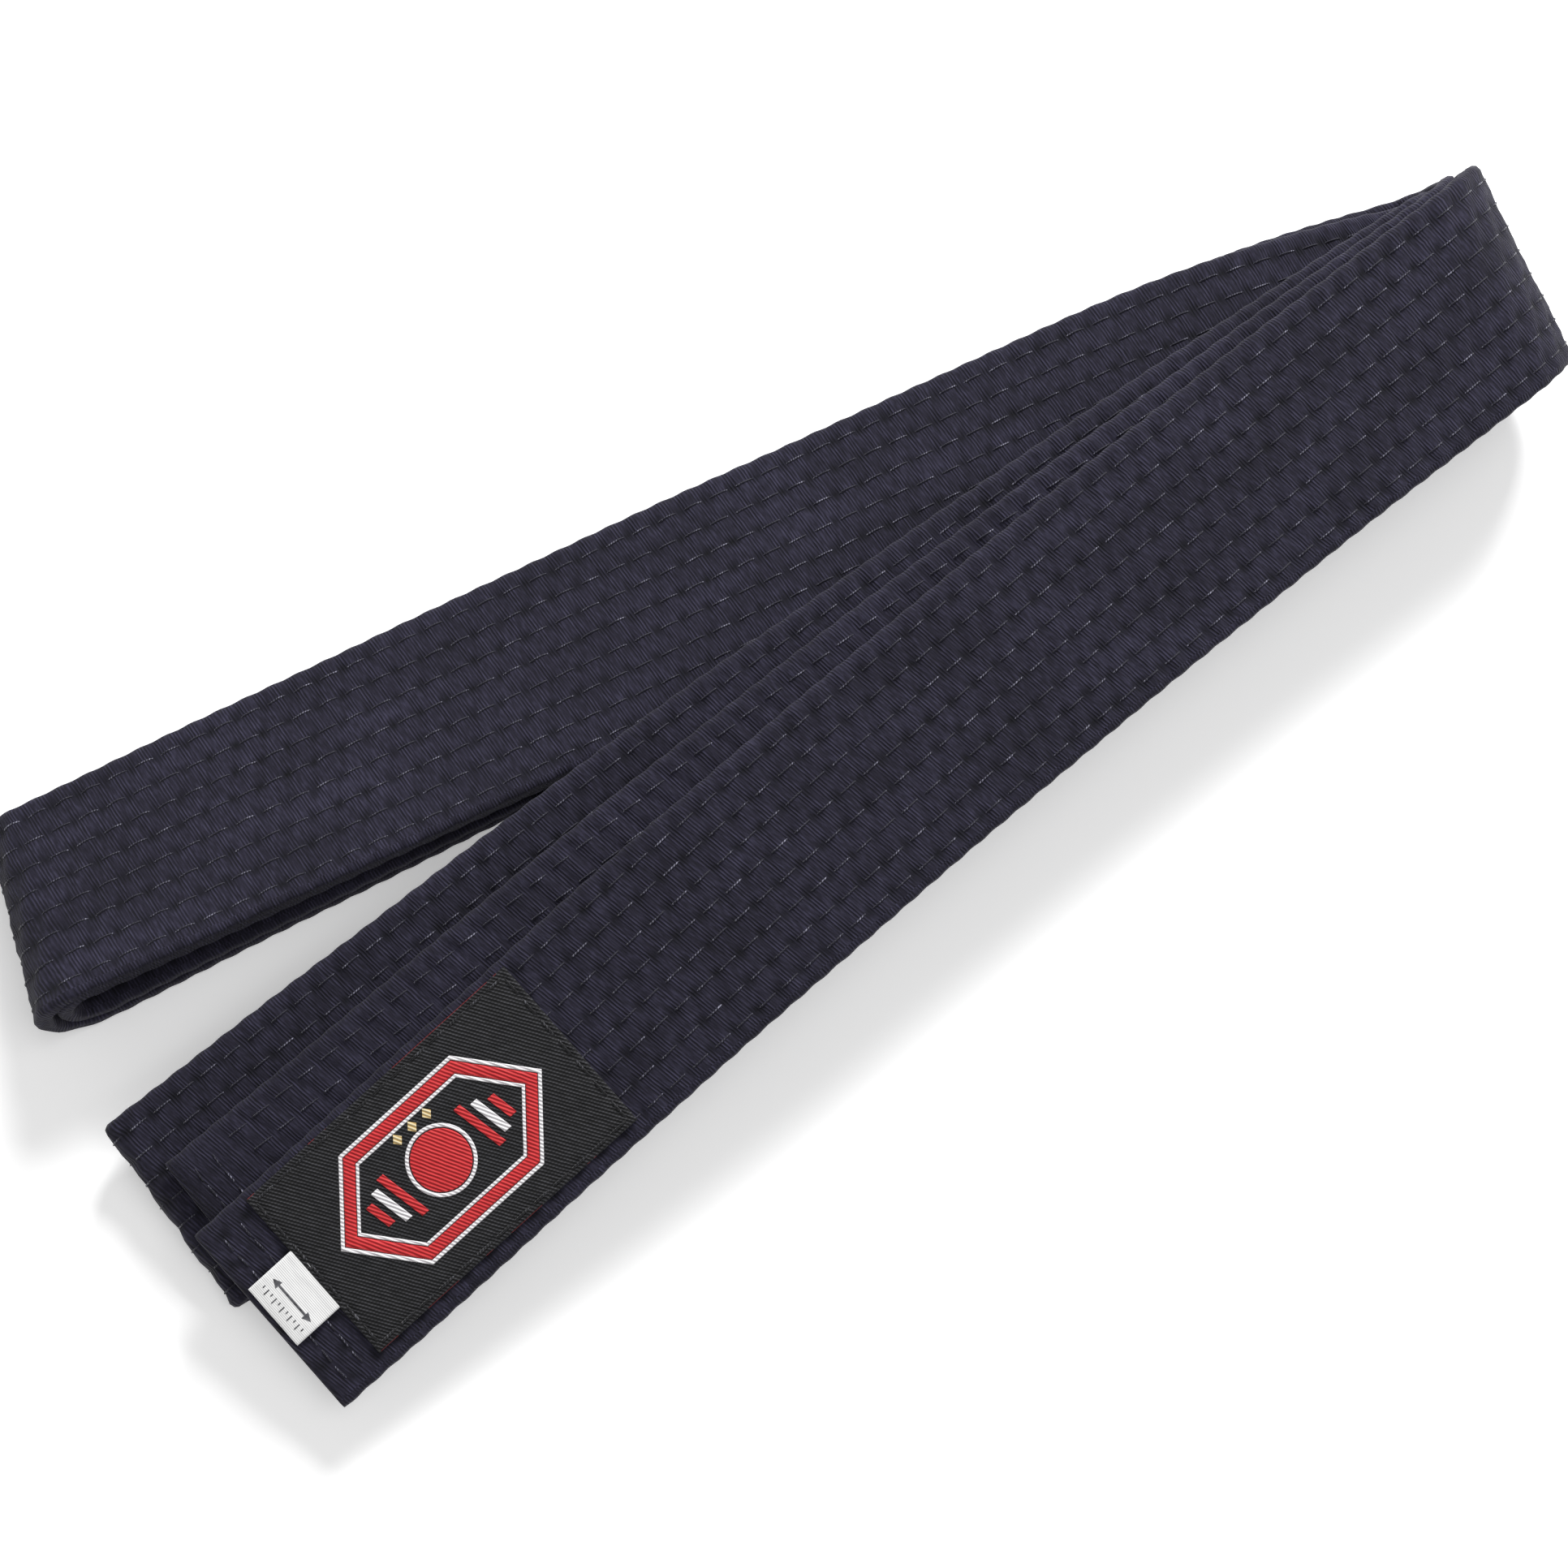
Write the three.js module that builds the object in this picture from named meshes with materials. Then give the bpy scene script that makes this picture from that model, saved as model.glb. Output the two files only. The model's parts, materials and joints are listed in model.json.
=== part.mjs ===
// A martial arts belt, folded three times and fanned out, lying on a level surface.
//
// The belt is a strip of layered cotton: a twill cover wrapped round two core plies, closed along one
// long edge and quilted by rows of lockstitch. A woven label is sewn on the face at one tip, and a small
// size tag is caught at the label's short edge, where it can be flipped up like a page.
//
// Millimetres, +Z up. X runs along the folded belt, from the tips (-X) to the thick fold (+X). Y runs
// across it: the front bundle, with the label, leans towards -Y and the rear bundle towards +Y.
import * as THREE from 'three';

// ---- driving dimensions -------------------------------------------------------------------------------
const BELT_LENGTH = 2400;      // tip to tip, laid out straight
const BELT_WIDTH = 40;
const BELT_THICKNESS = 3.2;    // at the long edges
const QUILT_SINK = 0.22;       // how far the stitching pulls each face in between them
const EDGE_ROUND = 0.8;
const COVER_WALL = 0.5;        // the twill, with its turned-in margin
const SEAM_SLIT = 0.4;         // the closing seam along the near edge
const CORE_PLIES = 2;
const CORE_GAP = 0.1;          // between the plies, and between them and the cover

const STITCH_ROWS = 8;
const STITCH_MARGIN = 3.5;     // belt edge to the outermost row
const THREAD_WIDTH = 0.6;
const THREAD_HEIGHT = 0.14;
const THREAD_GAP = 0.05;       // clear of the cloth it lies on
const HEM_ROWS = [4, 8];       // cross rows that close a tip, from the belt's end
const HEM_ZONE = 10;           // the long rows stop this far from the belt's end

const LAYER_GAP = 0.3;         // air between two layers that lie on each other
const SETTLE_LENGTH = 70;      // over which the front bundle starts to come down
const FLARE_LENGTH = 80;       // over which the rear bundle swings out from the thick fold
const FLARE_PARTS = 3;
const SQUARE_LENGTH = 30;      // within this of the thick fold, cross lines turn parallel to it
const TIP_STRAIGHT = 75;       // straight and flat at the tips, where the label stiffens the belt

const LABEL_LENGTH = 60.4;
const LABEL_WIDTH = 35.2;
const LABEL_THICKNESS = 0.5;
const LABEL_CORNER = 0.8;
const LABEL_TO_TIP = 11.4;     // belt's end to the label's short edge
const LABEL_SHIFT = 0.9;       // the label's middle line from the belt's, towards the far edge
const LABEL_GAP = 0.15;        // above the belt's face
const LABEL_STITCH_INSET = 1.2;

const TAG_LENGTH = 9.2;
const TAG_WIDTH = 13;
const TAG_THICKNESS = 0.25;
const TAG_GAP = 0.25;          // above the belt's face
const TAG_CLEARANCE = 0.7;     // label edge to the tag's folding line, room to swing up
const TAG_SHIFT = 0.3;         // the tag's middle line from the belt's, towards the far edge

// The eight layers of the folded stack, from the surface up. Each is one run of belt between the thick
// fold (+X) and the open end (-X). foldY is its place across the fold. Headings are in degrees from -X,
// positive towards +Y, and turn evenly along the run. Rolls are in degrees, positive with the far edge up.
// reach is how far the run goes past the common length, and parts how many straight facets it has. flare is
// how far the rear bundle swings out sideways as it leaves the thick fold. The table is drawn for a belt of
// DRAWN_WIDTH and DRAWN_LENGTH. A wider or shorter belt fans out more, so that its bundles part as far along.
const DRAWN_WIDTH = 40;
const DRAWN_LENGTH = 2400;
const WIDEN = BELT_WIDTH / DRAWN_WIDTH;
const FAN = (WIDEN * DRAWN_LENGTH) / BELT_LENGTH;
const RUNS = [
  { foldY: 12, foldHeading: 7, endHeading: 5, foldRoll: 0, endRoll: 0, reach: -3, parts: 2, flare: 5 },
  { foldY: 11, foldHeading: 7.2, endHeading: 5.3, foldRoll: 1.5, endRoll: 0, reach: -3, parts: 2, flare: 5 },
  { foldY: 6.5, foldHeading: 7.6, endHeading: 6, foldRoll: 3, endRoll: -13, reach: -3, parts: 6, flare: 7.5 },
  { foldY: 6, foldHeading: 7.6, endHeading: 6, foldRoll: 3.5, endRoll: -14, reach: -3, parts: 6, flare: 7.5 },
  { foldY: 4, foldHeading: -1.5, endHeading: -4.5, foldRoll: 8.5, endRoll: 8.5, reach: 4, parts: 6, flare: 0 },
  { foldY: 4, foldHeading: -1.5, endHeading: -4.5, foldRoll: 9, endRoll: 8.7, reach: 4, parts: 6, flare: 0 },
  { foldY: 2, foldHeading: -3.4, endHeading: -6.8, foldRoll: 11, endRoll: 9, reach: 0, parts: 6, flare: 0 },
  { foldY: 0, foldHeading: -5.2, endHeading: -9.4, foldRoll: 12, endRoll: 9.2, reach: 2, parts: 6, flare: 0 },
].map((run) => ({
  ...run,
  foldY: run.foldY * WIDEN,
  foldHeading: run.foldHeading * FAN,
  endHeading: run.endHeading * FAN,
  flare: run.flare * WIDEN,
}));
const FRONT = 4;               // the first layer of the front bundle

// The order in which the belt runs through the stack, from the labelled tip to the plain one.
const ORDER = [7, 0, 3, 4, 5, 2, 1, 6];
const FOLD_PARTS = 7;          // straight facets round each bend
const LOOP_PARTS = 5;
const MIDFOLD_PARTS = 4;

// ---- the course of the belt ---------------------------------------------------------------------------
const radians = THREE.MathUtils.degToRad;
const lerp = THREE.MathUtils.lerp;
const PITCH = BELT_THICKNESS + LAYER_GAP;
const HALF_WIDTH = BELT_WIDTH / 2;

/**
 * Where a run's middle line is in plan, at distance u from the thick fold: an arc, then a straight tip.
 * The flare adds a sideways swing that fades as the cube of the way left to go.
 */
function planPoint(run, u, length) {
  const bend = length - TIP_STRAIGHT;
  const start = radians(run.foldHeading);
  const end = radians(run.endHeading);
  const onArc = Math.min(u, bend);
  const heading = lerp(start, end, onArc / bend);
  const radius = bend / (end - start);
  const past = u - onArc;
  const x = -radius * (Math.sin(heading) - Math.sin(start)) - past * Math.cos(heading);
  const y = run.foldY - radius * (Math.cos(heading) - Math.cos(start)) + past * Math.sin(heading);
  const toSwing = 1 - Math.min(u / FLARE_LENGTH, 1);
  const swung = run.flare * (1 - toSwing ** 3);
  const swing = Math.atan((3 * run.flare * toSwing ** 2) / FLARE_LENGTH);
  return { x, y: y + swung, heading: heading + swing };
}

/** How far a run is turned about its own length. The rear bundle turns mostly towards its loop. */
function rollAt(k, u, length) {
  const share = k < FRONT ? (u / length) ** 2 : Math.min(u / (length - TIP_STRAIGHT), 1);
  return radians(lerp(RUNS[k].foldRoll, RUNS[k].endRoll, share));
}

/** Height of the front bundle above its place at the tips: level, then a bend, then an even slope. */
function frontLift(u, length, drop) {
  const slope = drop / (TIP_STRAIGHT + SETTLE_LENGTH / 2);
  const fromTip = length + RUNS[FRONT].reach - u;
  const intoBend = THREE.MathUtils.clamp(fromTip - TIP_STRAIGHT, 0, SETTLE_LENGTH);
  return slope * (Math.min(fromTip, TIP_STRAIGHT) + intoBend - intoBend ** 2 / (2 * SETTLE_LENGTH));
}

/** Middle height of layer k at distance u: each layer rests on the one below along its lower-lying edge. */
function heightAt(k, u, length) {
  let z = BELT_THICKNESS / 2;
  for (let i = 1; i <= k; i += 1) {
    const below = rollAt(i - 1, u, length);
    const own = rollAt(i, u, length);
    const sideStep = planPoint(RUNS[i], u, length).y - planPoint(RUNS[i - 1], u, length).y;
    if (i === FRONT) {
      const atFold = heightAt(FRONT - 1, 0, length) + PITCH
        + HALF_WIDTH * Math.abs(Math.sin(radians(RUNS[i].foldRoll)) - Math.sin(radians(RUNS[i - 1].foldRoll)));
      const atTip = BELT_THICKNESS / 2 + HALF_WIDTH * Math.sin(radians(RUNS[i].endRoll));
      z = atTip + frontLift(u, length, atFold - atTip);
    } else {
      z += PITCH / Math.cos(own) + sideStep * Math.tan(below);
      z += HALF_WIDTH * Math.abs(Math.sin(own) - Math.sin(below));
    }
  }
  return z;
}

/** One cross line: square to the run, but parallel to the fold line where the run reaches the fold. */
function crossLine(k, u, length) {
  const plan = planPoint(RUNS[k], u, length);
  const roll = rollAt(k, u, length);
  const turned = plan.heading * Math.min(u / SQUARE_LENGTH, 1);
  const across = new THREE.Vector3(Math.sin(turned), Math.cos(turned), 0);
  across.multiplyScalar(Math.cos(roll)).setZ(Math.sin(roll));
  const reach = HALF_WIDTH / Math.cos(plan.heading - turned);
  const middle = new THREE.Vector3(plan.x, plan.y, heightAt(k, u, length));
  return {
    near: middle.clone().addScaledVector(across, -reach),
    far: middle.clone().addScaledVector(across, reach),
  };
}

/** Distances from the thick fold at which a run's cross lines lie, from the fold to the open end. */
function runStops(k, length) {
  const { parts, reach } = RUNS[k];
  const open = length + reach;
  if (k < FRONT) {
    const flared = Array.from({ length: FLARE_PARTS }, (_, i) => (FLARE_LENGTH * i) / FLARE_PARTS);
    const onward = Array.from({ length: parts + 1 }, (_, i) => lerp(FLARE_LENGTH, open, i / parts));
    return [...flared, ...onward];
  }
  const bendStart = length - TIP_STRAIGHT - SETTLE_LENGTH;
  const half = parts / 2;
  const level = Array.from({ length: half }, (_, i) => (bendStart * i) / half);
  const bend = Array.from({ length: half }, (_, i) => bendStart + (SETTLE_LENGTH * i) / half);
  return [...level, ...bend, length - TIP_STRAIGHT, open];
}

/** An edge point part way round a bend: half a circle that leaves and meets the two runs smoothly. */
function bendPoint(from, leaving, to, arriving, angle) {
  const middle = from.clone().add(to).multiplyScalar(0.5);
  const arm = from.clone().sub(middle);
  const share = (1 + Math.cos(angle)) / 2;
  const outward = leaving.clone().multiplyScalar(share).addScaledVector(arriving, share - 1).normalize();
  return middle.addScaledVector(arm, Math.cos(angle)).addScaledVector(outward, Math.sin(angle) * arm.length());
}

/** The cross lines of a bend between two cross lines, without its ends. */
function bendLines(first, before, last, after, parts) {
  const lines = [];
  for (let i = 1; i < parts; i += 1) {
    const angle = (Math.PI * i) / parts;
    const line = {};
    for (const edge of ['near', 'far']) {
      const leaving = first[edge].clone().sub(before[edge]).normalize();
      const arriving = after[edge].clone().sub(last[edge]).normalize();
      line[edge] = bendPoint(first[edge], leaving, last[edge], arriving, angle);
    }
    lines.push(line);
  }
  return lines;
}

/** All cross lines of the belt from tip to tip, for a given length of run. */
function courseLines(length) {
  const runs = ORDER.map((k, i) => {
    const lines = runStops(k, length).map((u) => crossLine(k, u, length));
    return i % 2 === 0 ? lines.reverse() : lines;
  });
  const bendParts = [FOLD_PARTS, LOOP_PARTS, FOLD_PARTS, MIDFOLD_PARTS, FOLD_PARTS, LOOP_PARTS, FOLD_PARTS];
  const course = [...runs[0]];
  for (let i = 1; i < runs.length; i += 1) {
    const [before, first] = course.slice(-2);
    const [last, after] = runs[i];
    course.push(...bendLines(first, before, last, after, bendParts[i - 1]), ...runs[i]);
  }
  return course;
}

/** Adds the middle point, the direction of travel and the face normal to every cross line. */
function stationsOf(course) {
  const middles = course.map(({ near, far }) => near.clone().add(far).multiplyScalar(0.5));
  return course.map(({ near, far }, i) => {
    const back = middles[Math.max(i - 1, 0)];
    const ahead = middles[Math.min(i + 1, middles.length - 1)];
    const into = middles[i].clone().sub(back).normalize();
    const out = ahead.clone().sub(middles[i]).normalize();
    const along = into.add(out).normalize();
    const across = far.clone().sub(near).divideScalar(BELT_WIDTH);
    const normal = new THREE.Vector3().crossVectors(along, across).normalize();
    return { middle: middles[i], along, across, normal };
  });
}

function courseLength(stations) {
  return stations.slice(1).reduce((sum, s, i) => sum + s.middle.distanceTo(stations[i].middle), 0);
}

/** The run length for which the whole belt, bends included, is as long as it should be. */
function solveRunLength() {
  let length = BELT_LENGTH / RUNS.length;
  for (let i = 0; i < 4; i += 1) {
    length += (BELT_LENGTH - courseLength(stationsOf(courseLines(length)))) / RUNS.length;
  }
  return length;
}

const RUN_LENGTH = solveRunLength();
const STATIONS = stationsOf(courseLines(RUN_LENGTH));

// ---- pieces swept along the belt ----------------------------------------------------------------------
/** A closed body from a cross-section of [across, up] points, anticlockwise, carried along stations. */
function sweep(section, stations) {
  const count = section.length;
  const positions = [];
  for (const { middle, across, normal } of stations) {
    for (const [v, h] of section) {
      positions.push(...middle.clone().addScaledVector(across, v).addScaledVector(normal, h).toArray());
    }
  }
  const index = [];
  for (let s = 0; s + 1 < stations.length; s += 1) {
    for (let i = 0; i < count; i += 1) {
      const j = (i + 1) % count;
      const a = s * count + i;
      const b = s * count + j;
      // the facets of all pieces split the same way, so that nested faces stay parallel where they twist
      const rising = section[j][0] > section[i][0];
      index.push(...(rising ? [a, b, b + count, a, b + count, a + count] : [a, b, a + count, b, b + count, a + count]));
    }
  }
  const outline = section.map(([v, h]) => new THREE.Vector2(v, h));
  const end = (stations.length - 1) * count;
  for (const [a, b, c] of THREE.ShapeUtils.triangulateShape(outline, [])) {
    index.push(a, c, b, end + a, end + b, end + c);
  }
  const geometry = new THREE.BufferGeometry();
  geometry.setAttribute('position', new THREE.Float32BufferAttribute(positions, 3));
  geometry.setIndex(index);
  geometry.computeVertexNormals();
  return geometry;
}

/** The same stations, ending a little short of both tips. */
function shortened(stations, inset) {
  const kept = [...stations];
  const pull = (end, next) => ({
    ...end,
    middle: end.middle.clone().addScaledVector(next.middle.clone().sub(end.middle).normalize(), inset),
  });
  kept[0] = pull(stations[0], stations[1]);
  kept[kept.length - 1] = pull(stations.at(-1), stations.at(-2));
  return kept;
}

const HALF_THICK = BELT_THICKNESS / 2;
const QUILT_HALF = HALF_THICK - QUILT_SINK;
const ROW_REACH = HALF_WIDTH - STITCH_MARGIN;
const ROWS = Array.from({ length: STITCH_ROWS }, (_, i) => ROW_REACH * ((2 * i) / (STITCH_ROWS - 1) - 1));
const QUILT_REACH = ROW_REACH + THREAD_WIDTH * 0.75;
const BAND_START = QUILT_REACH + 2 * QUILT_SINK;
const BAND_END = HALF_WIDTH - EDGE_ROUND;

/** The cover: a thin wall round the core, open at the seam on the near edge. */
function coverSection() {
  const edge = HALF_THICK - EDGE_ROUND;
  const slit = SEAM_SLIT / 2;
  const roomWidth = HALF_WIDTH - COVER_WALL;
  const roomHalf = QUILT_HALF - COVER_WALL;
  const creases = [-QUILT_REACH, ...ROWS.slice(1, -1), QUILT_REACH].map((v) => [v, -QUILT_HALF]);
  const underside = [[-BAND_END, -HALF_THICK], [-BAND_START, -HALF_THICK], ...creases,
    [BAND_START, -HALF_THICK], [BAND_END, -HALF_THICK]];
  const face = underside.map(([v, h]) => [-v, -h]);
  const room = [[-roomWidth, slit], [-roomWidth, roomHalf], [0, roomHalf], [roomWidth, roomHalf],
    [roomWidth, -roomHalf], [0, -roomHalf], [-roomWidth, -roomHalf], [-roomWidth, -slit]];
  return [[-HALF_WIDTH, -slit], [-HALF_WIDTH, -edge], ...underside, [HALF_WIDTH, -edge], [HALF_WIDTH, edge],
    ...face, [-HALF_WIDTH, edge], [-HALF_WIDTH, slit], ...room];
}

/** One core ply, counted from the underside. */
function plySection(ply) {
  const width = HALF_WIDTH - COVER_WALL - CORE_GAP;
  const room = 2 * (QUILT_HALF - COVER_WALL);
  const thick = (room - (CORE_PLIES + 1) * CORE_GAP) / CORE_PLIES;
  const low = -room / 2 + CORE_GAP + ply * (thick + CORE_GAP);
  const high = low + thick;
  return [[-width, low], [0, low], [width, low], [width, high], [0, high], [-width, high]];
}

/** A thread lying on one face of the quilted middle; side is 1 on the face and -1 on the back. */
function threadSection(v, side) {
  const low = QUILT_HALF + THREAD_GAP;
  const half = THREAD_WIDTH / 2;
  return [[v - side * half, side * low], [v + side * half, side * low], [v, side * (low + THREAD_HEIGHT)]];
}

function cloth(color, roughness = 0.95) {
  return new THREE.MeshStandardMaterial({ color, roughness, metalness: 0 });
}
const TWILL = cloth('#23232e');
const CANVAS = cloth('#b9b4a6');
const THREAD = cloth('#34343f', 0.7);
const LABEL_WEAVE = cloth('#17171a', 0.8);
const LABEL_THREAD = cloth('#0f0f11', 0.6);
const TAG_SATIN = cloth('#f2f2f2', 0.6);

function addMesh(group, name, geometry, material) {
  const mesh = new THREE.Mesh(geometry, material.clone());
  mesh.name = name;
  group.add(mesh);
  return mesh;
}

const belt = new THREE.Group();
addMesh(belt, 'cover', sweep(coverSection(), STATIONS), TWILL);
for (let ply = 0; ply < CORE_PLIES; ply += 1) {
  addMesh(belt, `core_ply_${ply + 1}`, sweep(plySection(ply), shortened(STATIONS, COVER_WALL)), CANVAS);
}
const stitched = shortened(STATIONS, HEM_ZONE);
ROWS.forEach((v, i) => {
  addMesh(belt, `needle_row_${i + 1}`, sweep(threadSection(v, 1), stitched), THREAD);
  addMesh(belt, `bobbin_row_${i + 1}`, sweep(threadSection(v, -1), stitched), THREAD);
});

// ---- the two tips -------------------------------------------------------------------------------------
/** A frame on a tip's face: X from the belt's end towards the fold, Y to the far edge, Z off the face. */
function tipFrame(end, inward) {
  const frame = new THREE.Group();
  const along = inward.middle.clone().sub(end.middle).normalize();
  const off = new THREE.Vector3().crossVectors(along, end.across).normalize();
  frame.quaternion.setFromRotationMatrix(new THREE.Matrix4().makeBasis(along, end.across, off));
  frame.position.copy(end.middle);
  belt.add(frame);
  return frame;
}

/** The cross rows that close a tip, on both of its faces, between the thicker long edges. */
function addHemStitches(tip, tipName) {
  HEM_ROWS.forEach((fromEnd, row) => {
    for (const [face, side] of [['needle', 1], ['bobbin', -1]]) {
      const bar = new THREE.BoxGeometry(THREAD_WIDTH, 2 * ROW_REACH, THREAD_HEIGHT);
      const height = side * (QUILT_HALF + THREAD_GAP + THREAD_HEIGHT / 2);
      addMesh(tip, `${tipName}_hem_${face}_${row + 1}`, bar, THREAD).position.set(fromEnd, 0, height);
    }
  });
}

const labelTip = tipFrame(STATIONS[0], STATIONS[1]);
const plainTip = tipFrame(STATIONS.at(-1), STATIONS.at(-2));
addHemStitches(labelTip, 'label_tip');
addHemStitches(plainTip, 'plain_tip');

// ---- label and size tag -------------------------------------------------------------------------------
/** A rectangle centred on the origin with rounded corners, or with sharp ones where the radius is 0. */
function rectangle(Kind, length, width, corner) {
  const x = length / 2;
  const y = width / 2;
  const path = new Kind();
  const quarter = Math.PI / 2;
  const corners = [[x - corner, y - corner], [corner - x, y - corner], [corner - x, corner - y],
    [x - corner, corner - y]];
  corners.forEach(([cx, cy], i) => path.absarc(cx, cy, corner, i * quarter, (i + 1) * quarter));
  path.closePath();
  return path;
}

const labelShape = rectangle(THREE.Shape, LABEL_LENGTH, LABEL_WIDTH, LABEL_CORNER);
const label = new THREE.ExtrudeGeometry(labelShape, {
  depth: LABEL_THICKNESS, bevelEnabled: false, curveSegments: 4,
});
const labelMiddle = LABEL_TO_TIP + LABEL_LENGTH / 2;
const labelBottom = HALF_THICK + LABEL_GAP;
addMesh(labelTip, 'woven_label', label, LABEL_WEAVE).position.set(labelMiddle, LABEL_SHIFT, labelBottom);

/** The thread round the label, a flat closed ring. */
function labelStitch() {
  const outer = LABEL_STITCH_INSET - THREAD_WIDTH / 2;
  const inner = LABEL_STITCH_INSET + THREAD_WIDTH / 2;
  const ring = rectangle(THREE.Shape, LABEL_LENGTH - 2 * outer, LABEL_WIDTH - 2 * outer, THREAD_WIDTH);
  ring.holes.push(rectangle(THREE.Path, LABEL_LENGTH - 2 * inner, LABEL_WIDTH - 2 * inner, THREAD_WIDTH / 2));
  return new THREE.ExtrudeGeometry(ring, { depth: THREAD_HEIGHT, bevelEnabled: false, curveSegments: 2 });
}
const labelTop = labelBottom + LABEL_THICKNESS + THREAD_GAP;
addMesh(labelTip, 'label_stitch', labelStitch(), LABEL_THREAD).position.set(labelMiddle, LABEL_SHIFT, labelTop);

const tagX = LABEL_TO_TIP - TAG_CLEARANCE - TAG_LENGTH / 2;
const tag = new THREE.BoxGeometry(TAG_LENGTH, TAG_WIDTH, TAG_THICKNESS);
addMesh(labelTip, 'size_tag', tag, TAG_SATIN)
  .position.set(tagX, TAG_SHIFT, HALF_THICK + TAG_GAP + TAG_THICKNESS / 2);

// ---- the origin goes to the middle of the footprint, on the surface -----------------------------------
const bounds = new THREE.Box3().setFromObject(belt, true);
const middle = bounds.getCenter(new THREE.Vector3());
belt.position.set(-middle.x, -middle.y, -bounds.min.z);

export default belt;
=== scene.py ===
import json

import bpy
import numpy as np
from mathutils import Matrix, Vector


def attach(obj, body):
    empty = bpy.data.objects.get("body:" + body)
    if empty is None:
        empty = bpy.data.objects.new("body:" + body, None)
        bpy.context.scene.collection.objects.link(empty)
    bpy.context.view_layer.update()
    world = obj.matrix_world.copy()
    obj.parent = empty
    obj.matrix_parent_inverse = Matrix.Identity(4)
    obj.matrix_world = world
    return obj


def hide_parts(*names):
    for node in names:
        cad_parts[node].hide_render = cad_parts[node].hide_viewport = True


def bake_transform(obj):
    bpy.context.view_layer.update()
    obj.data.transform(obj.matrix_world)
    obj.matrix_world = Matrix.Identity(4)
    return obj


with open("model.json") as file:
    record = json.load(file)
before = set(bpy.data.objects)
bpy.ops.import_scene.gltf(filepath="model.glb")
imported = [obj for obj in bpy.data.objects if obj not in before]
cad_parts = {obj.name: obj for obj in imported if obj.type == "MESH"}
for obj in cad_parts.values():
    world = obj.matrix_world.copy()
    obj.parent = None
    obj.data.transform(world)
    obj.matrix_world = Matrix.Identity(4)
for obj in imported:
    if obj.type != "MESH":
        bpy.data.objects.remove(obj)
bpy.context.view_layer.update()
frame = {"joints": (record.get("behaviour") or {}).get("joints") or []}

# ---- the course of the belt ---------------------------------------------------------------------------
# The belt is one strip, folded three times into eight layers and fanned out. Every sewn piece follows its
# course: runs between the thick fold (+X) and the open end (-X), joined by half-circle bends. Lengths are
# in millimetres and angles in degrees until a mesh is made.
MM = 0.001
BELT_WIDTH = 40.0
BELT_THICKNESS = 3.2
LAYER_GAP = 0.3
RUN_LENGTH = 280.14         # for which the runs and bends add up to the belt's 2400 mm
TIP_STRAIGHT = 75.0         # straight and flat at the tips, where the label stiffens the belt
SETTLE_LENGTH = 70.0        # over which the front bundle starts to come down
FLARE_LENGTH = 80.0         # over which the rear bundle swings out from the thick fold
SQUARE_LENGTH = 30.0        # within this of the thick fold, cross lines turn parallel to it
COURSE_STEP = 1.0           # between two stations along a run

# The layers from the surface up. Columns: place across the thick fold, heading at the fold and at the open
# end, roll at both, how far past the common length it reaches, and how far it swings out sideways as it
# leaves the fold.
FOLD_Y, HEADING, END_HEADING, ROLL, END_ROLL, REACH, FLARE = range(7)
RUNS = np.array([
    [12.0, 7.0, 5.0, 0.0, 0.0, -3, 5.0],
    [11.0, 7.2, 5.3, 1.5, 0.0, -3, 5.0],
    [6.5, 7.6, 6.0, 3.0, -13.0, -3, 7.5],
    [6.0, 7.6, 6.0, 3.5, -14.0, -3, 7.5],
    [4.0, -1.5, -4.5, 8.5, 8.5, 4, 0.0],
    [4.0, -1.5, -4.5, 9.0, 8.7, 4, 0.0],
    [2.0, -3.4, -6.8, 11.0, 9.0, 0, 0.0],
    [0.0, -5.2, -9.4, 12.0, 9.2, 2, 0.0],
])
FRONT = 4                   # the first layer of the front bundle
ORDER = [7, 0, 3, 4, 5, 2, 1, 6]     # in which the belt runs through the layers, from the labelled tip
PITCH = BELT_THICKNESS + LAYER_GAP
HALF_WIDTH = BELT_WIDTH / 2
HALF_THICK = BELT_THICKNESS / 2


def lerp(a, b, t):
    """From a at t = 0 to b at t = 1."""
    return a + (b - a) * t


def plan_point(k, u):
    """Middle line of run k in plan at distances u from the fold: a circular arc, then a straight tip.
    On the arc the heading turns evenly, so x and y are its sine and cosine times the radius. The swing
    fades as the cube of the way left to go."""
    fold_y, flare = RUNS[k, FOLD_Y], RUNS[k, FLARE]
    start, end = np.radians(RUNS[k, [HEADING, END_HEADING]])
    to_swing = 1 - np.minimum(u / FLARE_LENGTH, 1)
    bend = RUN_LENGTH - TIP_STRAIGHT
    on_arc = np.minimum(u, bend)
    past = u - on_arc
    heading = lerp(start, end, on_arc / bend)
    radius = bend / (end - start)
    x = -radius * (np.sin(heading) - np.sin(start)) - past * np.cos(heading)
    y = fold_y - radius * (np.cos(heading) - np.cos(start)) + past * np.sin(heading)
    swing = np.arctan(3 * flare * to_swing ** 2 / FLARE_LENGTH)
    return x, y + flare * (1 - to_swing ** 3), heading + swing


def roll_at(k, u):
    """Turn of run k about its own length: the rear bundle turns mostly towards its loop."""
    share = (u / RUN_LENGTH) ** 2 if k < FRONT else np.minimum(u / (RUN_LENGTH - TIP_STRAIGHT), 1)
    return np.radians(lerp(RUNS[k, ROLL], RUNS[k, END_ROLL], share))


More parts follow.
